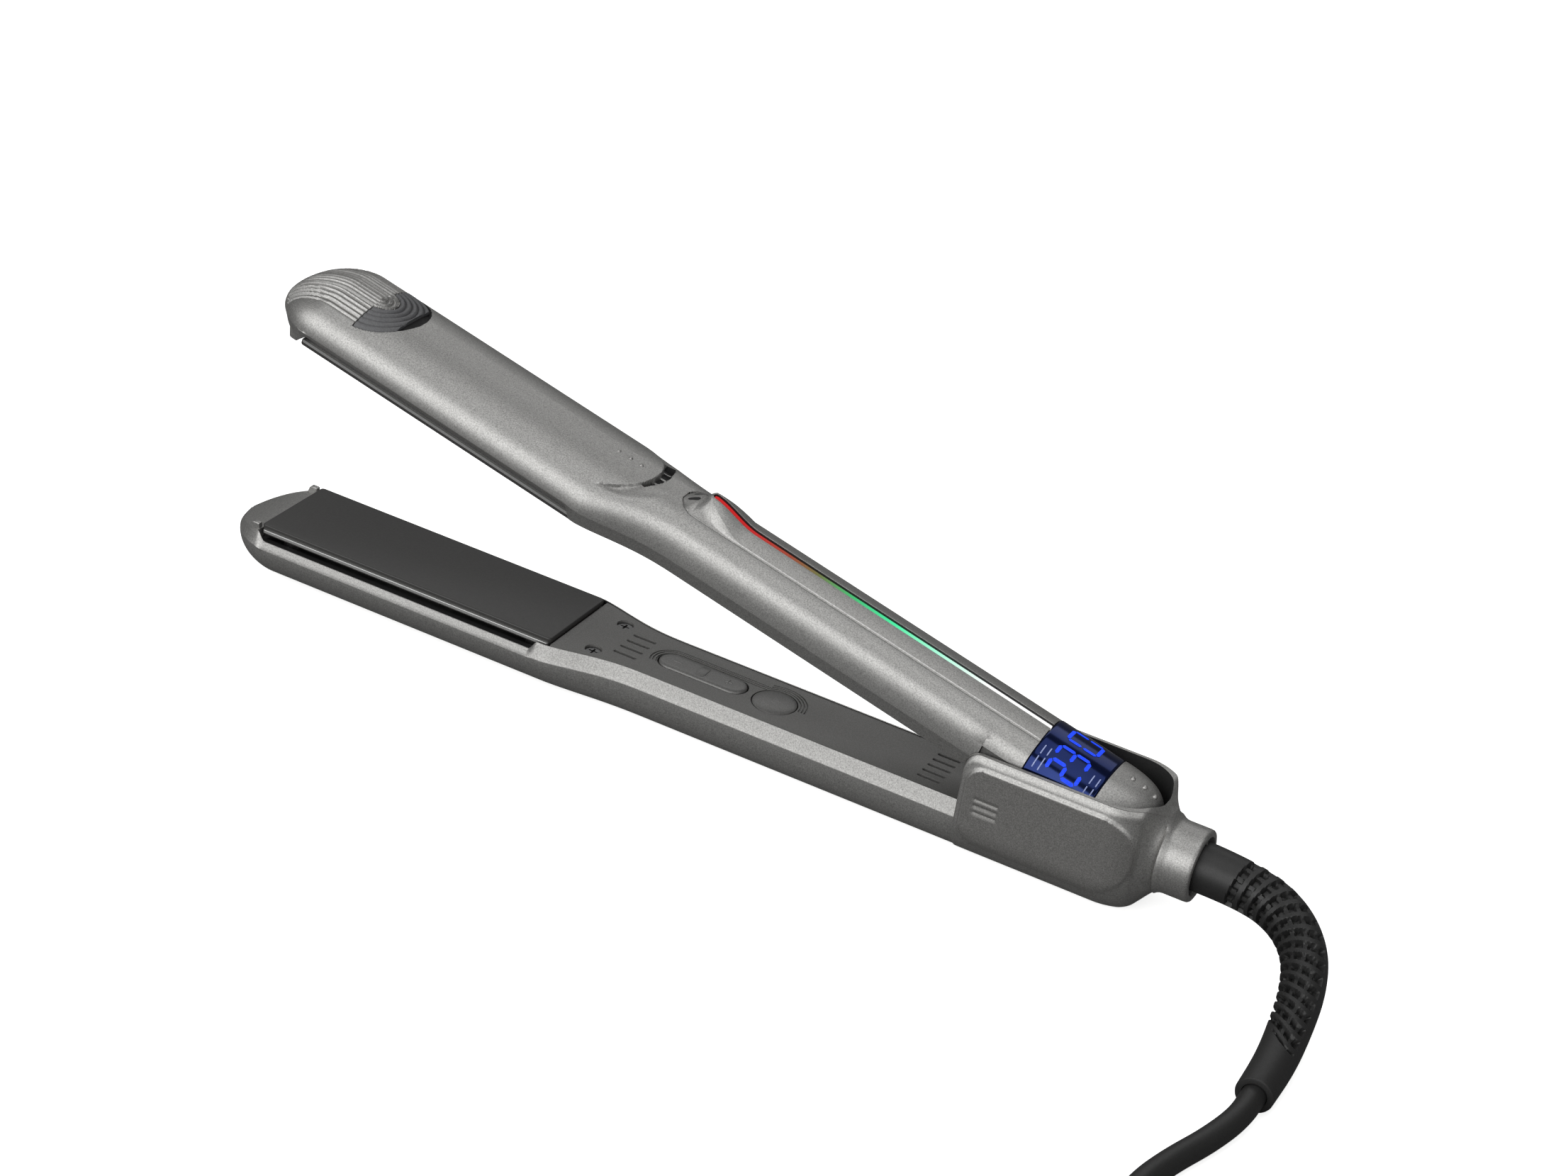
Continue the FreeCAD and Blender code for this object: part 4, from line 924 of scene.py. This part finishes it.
def end_cap():
    """Rounded tail of the upper arm, with three dots on its middle line."""
    shell = Shell()
    x0, low = DISPLAY_X1 + 0.14, 9.9
    length = CAP_X1 - 0.02 - DISPLAY_X1 - 0.14

    def height(x):
        return REAR_H * (1 - min((x - x0) / length, 0.9995) ** 4) ** 0.25

    def section(x, inset=0.0):
        b = REAR_W * math.sqrt(1 - min(max((x - 235.4) / 14.45, 0.0), 0.9995) ** 2) - inset
        h = height(x) - inset
        share = min(max((low - WIDEST) / h, 0.0), 0.97)
        a_low = math.asin(share ** (REAR_N / 2)) if h > 4.5 else 1.4
        pts = [oval(b, h, REAR_N, lerp(a_low, math.pi - a_low, i / 60)) for i in range(61)]
        return [(x, -y, max(z, low)) for y, z in pts]

    xs = [x0 + length * math.sin(math.pi / 2 * i / 34) for i in range(35)]
    rows = [section(x0, 0.25), section(x0 + 0.1, 0.05)] + [section(x) for x in xs[1:]]
    shell.loft([row + [(row[0][0], lerp(row[-1][1], row[0][1], t), low) for t in (0.25, 0.5, 0.75)]
                for row in rows])
    for x in (238.9, 242.4, 245.6):
        shell.dome(x, WIDEST + height(x) - 0.15, 0.72, 0.8)
    return finish_piece("end_cap_shell", shell, "upper", "upper_arm", [PAINT], ["end_cap"],
                        sharp=50.0)


# ------------------------------------------------------------------ hinge housing
CHEEK_Y, HOUSING_X1, ROOM_X1, REAR_R = 15.1, 254.9, 252.3, 12.9
HOUSING_TOP, LOW_R, FRONT_R, SHOULDER = 15.0, 7.5, 4.2, 1.3
ROOM_HALF, ROOM_R = 12.9, 11.1
BOSS_R, BOSS_X1 = 9.4, 264.3
PAD = (206.4, 250.4, -9.4, 11.6, (5.0, 9.8, 4.5, 9.0))


def rounded_distance(x, z, x0, x1, z0, z1, radii):
    """Signed distance to a rectangle with its own radius at each corner."""
    cx, cz = (x0 + x1) / 2, (z0 + z1) / 2
    right, upper = x > cx, z > cz
    r = radii[(1 if right else 0) + (2 if upper else 0)]
    dx = abs(x - cx) - (x1 - x0) / 2 + r
    dz = abs(z - cz) - (z1 - z0) / 2 + r
    return math.hypot(max(dx, 0), max(dz, 0)) + min(max(dx, dz), 0.0) - r


def pad_field(x, z):
    """How far the cheek drops away outside its flat pad, and into the three grooves."""
    d = rounded_distance(x, z, *PAD)
    if d > 0:
        return 0.45 * smooth(d / 0.5) + 0.75 * (1 - math.exp(-d / 2.6))
    groove = 0.0
    for gz in (-0.4, 1.5, 3.4):
        e = math.hypot(max(abs(x - 212.5) - 3.0, 0), z - gz) - 0.30
        if e < 0.12:
            groove = max(groove, 0.32 * smooth((0.12 - e) / 0.24))
    return groove


def rounding(d, r):
    """How far a corner of radius r has turned in, d past the start of its arc."""
    return r - math.sqrt(max(r ** 2 - max(d, 0.0) ** 2, 0.0))


def body_ring(x, side, count):
    """Outer half ring of the body, from the top edge to the bottom middle."""
    plan = rounding(x - (HOUSING_X1 - REAR_R), REAR_R)
    low = -BASE_Z + rounding(x - (HOUSING_X1 - LOW_R), LOW_R)
    top = HOUSING_TOP - rounding(FRONT_R - (x - ARM_END_X), FRONT_R)
    top -= 1.5 * smooth((x - HOUSING_X1 + 4.4) / 4.4)
    y_in = 0.0 if x > ROOM_X1 else ROOM_HALF - rounding(x - (ROOM_X1 - ROOM_R), ROOM_R)
    out = CHEEK_Y - plan
    r = min(11.0, out)
    pts = []
    for t in (0, 0.25, 0.5, 0.75, 1):
        pts.append((lerp(min(y_in, out - 0.4), out - SHOULDER, t) if out - SHOULDER > y_in else y_in, top))
    for t in steps(0, 1, 1.0 / count)[1:]:
        z = lerp(top, low + r, t)
        drop = pad_field(x, z) if plan < 3.5 else 1.15
        edge = max(0.0, (z - (top - 2.2)) / 2.2)
        pts.append((max(out - drop - SHOULDER * edge ** 1.6 * 0.75, min(y_in + 0.25, out)), z))
    for i in range(1, 15):
        a = math.pi / 2 * i / 14
        drop = (pad_field(x, low + r - r * math.sin(a)) if plan < 3.5 else 1.15) * (1 - i / 14)
        pts.append((out - r + r * math.cos(a) - drop, low + r - r * math.sin(a)))
    for t in (0.35, 0.7, 1.0):
        pts.append((lerp(out - r, 0.0, t), low))
    return [(x, side * y, z) for y, z in pts]


def boss_ring(x, side, total, r):
    """Outer half ring of the round boss, with as many points as the body's."""
    angles = [math.pi / 2 - math.pi * i / (total - 1) for i in range(total)]
    return [(x, side * r * math.cos(a), r * math.sin(a)) for a in angles]


def split_face(x, y, ring):
    """Inner points of a solid slice: straight up the plane where the halves meet."""
    return [(x, y, lerp(ring[-1][2], ring[0][2], (i + 1) / 17)) for i in range(16)]


def blended(ring, other, share):
    return [tuple(Vector(p).lerp(Vector(q), share)) for p, q in zip(ring, other)]


def housing_half(name, side, node):
    """Half of the hinge housing: open room for the upper arm's tail, then the boss."""
    shell = Shell()
    count = 52
    rows = []
    front = steps(ARM_END_X, 208.0, 0.3) + steps(208.4, 217.0, 0.3) + steps(218.0, 240.0, 1.2)
    rear = [ROOM_X1 + 0.02] + steps(ROOM_X1 + 0.3, HOUSING_X1 - 0.1, 0.3)
    xs = sorted(set(front + steps(240.6, ROOM_X1 - 0.02, 0.35) + rear))
    total = len(body_ring(220.0, side, count))
    for x in xs:
        outer = body_ring(x, side, count)
        if x < ARM_END_X + 0.5:
            back = 0.45 * (1 - math.sqrt(max(1 - (1 - (x - ARM_END_X) / 0.5) ** 2, 0)))
            outer = [(px, py - side * back * (abs(py) > 3), pz) for px, py, pz in outer]
        blend = x - (HOUSING_X1 - 5.0)
        if blend > 0:
            outer = blended(outer, boss_ring(x, side, total, 10.6), smooth(blend / 6.6) * 0.8)
            outer[-1] = (x, 0.0, outer[-1][2])
            if x > ROOM_X1:
                outer[0] = (x, 0.0, outer[0][2])
        if x < ROOM_X1:
            y_in = abs(outer[0][1])
            low = outer[-1][2] + 2.2
            r = min(8.8, y_in)
            inner = [(x, 0.0, low), (x, side * (y_in - r), low)]
            inner += [(x, side * (y_in - r + r * math.sin(a)), low + r - r * math.cos(a))
                      for a in [math.pi / 2 * i / 10 for i in range(1, 11)]]
            inner += [(x, side * y_in, lerp(low + r, outer[0][2], t)) for t in (0.25, 0.5, 0.75, 0.97)]
        else:
            inner = split_face(x, 0.0, outer)
        rows.append(outer + inner)
    last = rows[-1][:total]
    for back, r in ((8.9, 10.35), (8.3, 9.85), (7.5, 9.5), (6.6, BOSS_R), (4.0, BOSS_R), (1.2, BOSS_R),
                    (0.5, BOSS_R - 0.08), (0.15, BOSS_R - 0.3), (0.0, BOSS_R - 0.7), (0.0, 7.75),
                    (0.2, 7.62), (3.0, 7.6), (8.2, 7.6), (8.2, 4.2)):
        x = BOSS_X1 - back
        ring = boss_ring(x, side, total, r)
        if back == 8.9:
            ring = [(x, py, pz) for px, py, pz in blended(last, ring, 0.75)]
        rows.append(ring + split_face(x, side * 0.001 if r < 8.0 else 0.0, ring))
    body = len(xs)

    def look(i, j):
        """The pad is textured; everything inside the shell is painted shade, near black."""
        if j >= total:
            return 1 if i < body else 0
        x, y, z = rows[i][j]
        return 2 if i < body and 5 <= j < total - 4 and rounded_distance(x, z, *PAD) < 0 else 0

    shell.loft(rows, look)
    return finish_piece(name, shell, "base", "lower_arm", [PAINT, PAINTED_SHADE, PAD_PAINT_AND_RIB_SHADE], [node],
                        sharp=40.0)


# ------------------------------------------------------------------ plates and buttons
def rounded_slab(shell, x0, x1, y, z_face, z_back, corner, edge, mat=0):
    """Plate with rounded corners in plan and a rounded edge round its face."""

    def outline(inset, z):
        pts = []
        for cx, cy, start in ((x1, y, 0), (x0, y, 90), (x0, -y, 180), (x1, -y, 270)):
            sx, sy = math.copysign(1, cx - (x0 + x1) / 2), math.copysign(1, cy)
            for k in range(7):
                a, r = math.radians(start + 90 * k / 6), corner - inset
                pts.append((cx - sx * corner + r * math.cos(a), cy - sy * corner + r * math.sin(a), z))
        return pts

    rings = []
    for k in range(6):
        a = math.pi / 2 * k / 5
        rings.append(outline(edge * (1 - math.sin(a)), z_face + edge * (1 - math.cos(a))))
    rings.append(outline(0.0, z_back))
    shell.loft(rings, mat)


def heat_plate(name, arm, body, node):
    """Coated face, bare metal flange and foot."""
    shell = Shell()
    rounded_slab(shell, 0.0, PLATE_L, 14.0, 0.06, 1.3, 1.0, 0.35)
    rounded_slab(shell, 0.6, PLATE_L - 0.6, 14.58, 1.34, 2.16, 0.6, 0.12, 1)
    rounded_slab(shell, 0.3, PLATE_L - 0.3, 13.7, 2.16, 2.98, 0.8, 0.05)
    return finish_piece(name, shell, arm, body, [PLATE, PLATE_EDGE], [node])


def stadium_ring(cx, length, width, z, inset):
    r = width / 2 - inset
    h = length / 2 - width / 2
    pts = []
    for side, start in ((1, -90), (-1, 90)):
        for k in range(15):
            a = math.radians(start + 180 * k / 14)
            pts.append((cx + side * h + r * math.cos(a), r * math.sin(a), z))
    return pts


def rocker():
    """Temperature key: a dip across its middle, a minus and a plus, and its axle."""
    shell = Shell()
    cx, length, width, top = 126.3, 25.0, 7.5, 1.0
    rings = [stadium_ring(cx, length, width, 3.6, 0.0)]
    for inset, z in ((0.0, 1.75), (0.06, 1.5), (0.22, 1.28), (0.5, 1.12), (0.9, 1.04), (1.6, top),
                     (2.6, top)):
        rings.append(stadium_ring(cx, length, width, z, inset))
    shell.loft(rings)
    rows = []
    for i in range(13):
        y = lerp(-3.55, 3.55, i / 12)
        z = 0.62 + 0.75 * (abs(y) / 3.55) ** 2.4
        rows.append([(cx - 1.25, y, 1.6), (cx - 1.2, y, z + 0.12), (cx - 1.0, y, z),
                     (cx + 0.9, y, z + 0.08), (cx + 1.15, y, z + 0.2), (cx + 1.25, y, 1.6)])
    shell.loft(rows)
    bars = [(cx - 7.4, 0.0, 1.15, 0.17), (cx + 7.4, 0.0, 1.15, 0.17), (cx + 7.4, 0.0, 0.17, 1.15)]
    for x, y, hx, hy in bars:
        rows = []
        for inset, z in ((0.0, top), (0.03, top - 0.06), (0.07, top - 0.08)):
            rows.append([(x - hx + inset, y - hy + inset, z), (x + hx - inset, y - hy + inset, z),
                         (x + hx - inset, y + hy - inset, z), (x - hx + inset, y + hy - inset, z)])
        shell.loft(rows)
    shell.loft([[(cx + 0.8 * math.cos(a), y, 3.7 + 0.8 * math.sin(a)) for a in turn(20)]
                for y in (-5.6, -5.5, 5.5, 5.6)])
    return finish_piece("temperature_rocker_cap", shell, "lower", "rocker", [BUTTON],
                        ["temperature_rocker"])


def power_cap():
    """Round dished button with a broken ring and a bar cut into it."""
    shell = Shell()
    cx, r = 147.1, 5.85
    profile = [(r + 0.75, 3.9), (r + 0.75, 3.25), (r - 0.02, 3.2), (r, 1.85),
               (r - 0.08, 1.62), (r - 0.3, 1.47)]
    for k in range(1, 9):
        radius = lerp(r - 0.5, 0.25, k / 8)
        profile.append((radius, 0.87 + (radius / r) ** 2 * 0.58))
    shell.loft([[(cx + q * math.cos(a), q * math.sin(a), z) for a in turn(72)] for q, z in profile])
    z = 0.84
    rows = []
    for i in range(31):
        a = math.radians(lerp(35, 325, i / 30))
        rows.append([(cx + q * math.cos(a), q * math.sin(a), zz) for q, zz in
                     ((0.95, z + 0.16), (1.0, z + 0.0), (1.3, z + 0.01), (1.38, z + 0.16))])
    shell.loft(rows)
    shell.loft([[(cx + xa, -hy, z + za), (cx + xb, -hy, z + zb),
                 (cx + xb, hy, z + zb), (cx + xa, hy, z + za)]
                for xa, xb, hy, za, zb in ((0.5, 1.8, 0.17, 0.1, 0.14), (0.55, 1.75, 0.12, -0.01, 0.02))])
    return finish_piece("power_button_cap", shell, "lower", "power", [BUTTON],
                        ["power_button"])


# ------------------------------------------------------------------ cord
CORD_R, CORD_Z = 3.0, -13.4
BOOT_R0, BOOT_R1, BOOT_END, RING_PITCH, LONG_BARS = 6.36, 4.66, 7, 3.75, 10
ROUTE = [(266.2, 0, 0), (277.8, 0.2, -0.4), (288.6, -4.0, -1.7), (296.4, -12.2, -4.0),
         (300.4, -23, -6.7), (302.4, -35.5, -9.2), (303.8, -48.5, -11.0), (304.0, -62.5, -11.7),
         (304.0, -72, -12.2), (301, -83, -13.2), (297, -94.5, CORD_Z), (294.2, -106.5, CORD_Z),
         (294.0, -118, CORD_Z), (297.8, -130, CORD_Z), (306.5, -139, CORD_Z), (319, -144.2, CORD_Z),
         (334, -145, CORD_Z), (372, -145, CORD_Z), (398, -145, CORD_Z)]
COIL_X, COIL_Y, COIL_R, INNER_R, TURNS = 413.9, -94.0, 51.0, 19.0, 5
PER_TURN, JOIN_DEG, TAIL_TURN = 16, 270.0, math.radians(218.0)
TAIL = [(46, -20, 0), (48.5, -8.3, 0), (47.2, 3.6, 0.3), (41.6, 14.2, 2.2),
        (32.4, 21.9, 5.2), (21, 25.6, 8.4), (13, 25.6, 10)]


def coil_points():
    """Turns inward on the table, then outward on top of them."""
    pts = []
    inward, outward = PER_TURN * TURNS, PER_TURN * TURNS - 4
    for k in range(inward + outward + 1):
        a = math.radians(JOIN_DEG + 360.0 * k / PER_TURN)
        up = k - inward
        r = lerp(COIL_R, INNER_R, k / inward) if up <= 0 else lerp(INNER_R, 48.6, up / outward)
        z = CORD_Z + 2 * CORD_R * (smooth(up / 5) if up > 0 else 0.0)
        if up == outward:
            z += 2.0
        pts.append((COIL_X + r * math.cos(a), COIL_Y + r * math.sin(a), z))
    return pts


def tail_points():
    """Up over the coil, then round to the plug that lies on it."""
    c, s, low = math.cos(TAIL_TURN), math.sin(TAIL_TURN), CORD_Z + 4 * CORD_R + 0.05
    return [(COIL_X + x * c - y * s, COIL_Y + x * s + y * c, low + z) for x, y, z in TAIL]


def nurbs(name, points, bevel):
    """Curve of one smooth open spline with these points as its control points."""
    data = bpy.data.curves.new(name, "CURVE")
    data.dimensions = "3D"
    data.resolution_u, data.bevel_depth, data.bevel_resolution = 10, bevel, 8
    data.use_fill_caps = True
    spline = data.splines.new("NURBS")
    spline.points.add(len(points) - 1)
    for point, p in zip(spline.points, points):
        point.co = (*placed(p, "base"), 1.0)
    spline.order_u = 3
    spline.use_endpoint_u = True
    piece = bpy.data.objects.new(name, data)
    bpy.context.scene.collection.objects.link(piece)
    return piece


def centre_line(points):
    """The cord's own line, in mm, as the curve gives it."""
    guide = nurbs("guide", points, 0.0)
    mesh = bpy.data.meshes.new_from_object(guide)
    line = [v.co * 1000 for v in mesh.vertices]
    bpy.data.objects.remove(guide)
    return line


def boot(points):
    """Strain relief: collar, open lattice over a core, and a smooth sleeve."""
    line = [Vector((p.x + MID_X, p.y, p.z - BASE_Z)) for p in centre_line(points)]
    dist = [0.0]
    for a, b in zip(line, line[1:]):
        dist.append(dist[-1] + (b - a).length)
    end = min(range(len(line)), key=lambda i: (line[i] - Vector(ROUTE[BOOT_END])).length)
    length = dist[end]

    def at(s):
        i = next((k for k in range(1, len(dist)) if dist[k] >= s), len(dist) - 1)
        t = (s - dist[i - 1]) / (dist[i] - dist[i - 1])
        here = line[i - 1].lerp(line[i], t)
        a, b = line[max(i - 2, 0)], line[min(i + 1, len(line) - 1)]
        along = (b - a).normalized()
        side = along.cross(Vector((0, 0, 1))).normalized()
        return here, side, side.cross(along)

    def hoop(s, radius_at):
        here, side, up = at(s)
        return [here + side * (radius_at(a) * math.cos(a)) + up * (radius_at(a) * math.sin(a))
                for a in turn(132)]

    first, last = 7.2, length - 22.5

    def lattice(s, a):
        """Depth below the outer surface: rings over long bars over the core."""
        lean = math.sin(a - 0.6)
        start = first + 0.3 * lean
        stop = last + 8.5 * lean
        if s < start or s > stop:
            return 0.0
        edge = min(s - start, stop - s)
        grow = (s - first) / (last - first)
        phase = (s - first - lean * (0.8 + 5.2 * grow ** 2.0)) / RING_PITCH
        ring = abs((phase % 1.0) - 0.5) * 2
        bar = abs(((a / (2 * math.pi) * LONG_BARS + 0.035 * s) % 1.0) - 0.5) * 2
        floor_depth = 1.75 if bar > 0.42 else 0.8
        rib = min(abs(a - math.pi) - 0.72, abs(a - 5.1) - 0.34)
        hole = min(1.0, (1 - ring - 0.40) / 0.10, edge / 0.4, rib / 0.08)
        return floor_depth * max(hole, 0.0)

    shell = Shell()
    rows = []
    stations = [0.0, 1.0] + steps(2.0, first - 1, 3.0) + steps(first - 0.8, last + 9.4, 0.27)
    stations += steps(last + 10.5, length - 1.0, 3.0) + [length - 0.45, length - 0.12, length]
    for s in stations:
        trim = 0.35 if s == length else 0.1 if s == length - 0.12 else 0.0
        r = lerp(BOOT_R0, BOOT_R1, s / length) - trim
        rows.append(hoop(s, lambda a: r - lattice(s, a)))
    rows.append(hoop(length, lambda a: 3.15))
    rows.append(hoop(length - 2.5, lambda a: 3.1))
    collar = [[(x, -q * math.cos(a), q * math.sin(a)) for a in turn(132)] for x, q in
              ((256.0, 4.4), (256.0, 7.5), (263.3, 7.5), (263.5, 7.3), (263.5, BOOT_R0))]
    shell.grid(collar + rows, closed=True)
    shell.cap(list(reversed(collar[0])))
    shell.cap(rows[-1])
    return finish_piece("strain_relief_boot", shell, "base", "lower_arm", [BOOT],
                        ["strain_relief", "swivel_collar"], sharp=38.0)


def cord():
    points = ROUTE + coil_points() + tail_points()
    flex = nurbs("power_cord", points, CORD_R / 1000)
    flex.data.materials.append(CORD)
    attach(flex, "lower_arm")
    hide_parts("cord_run", "cord_coil", "cord_tail")
    sleeve = boot(points)


lower_casing()
upper_casing()
tip_insert()
spine_cover()
light_guide()
display()
end_cap()
housing_half("housing_half_near", -1, "housing_near")
housing_half("housing_half_far", 1, "housing_far")
heat_plate("lower_plate_slab", "lower", "lower_plate", "lower_heat_plate")
heat_plate("upper_plate_slab", "upper", "upper_plate", "upper_heat_plate")
rocker()
power_cap()
cord()
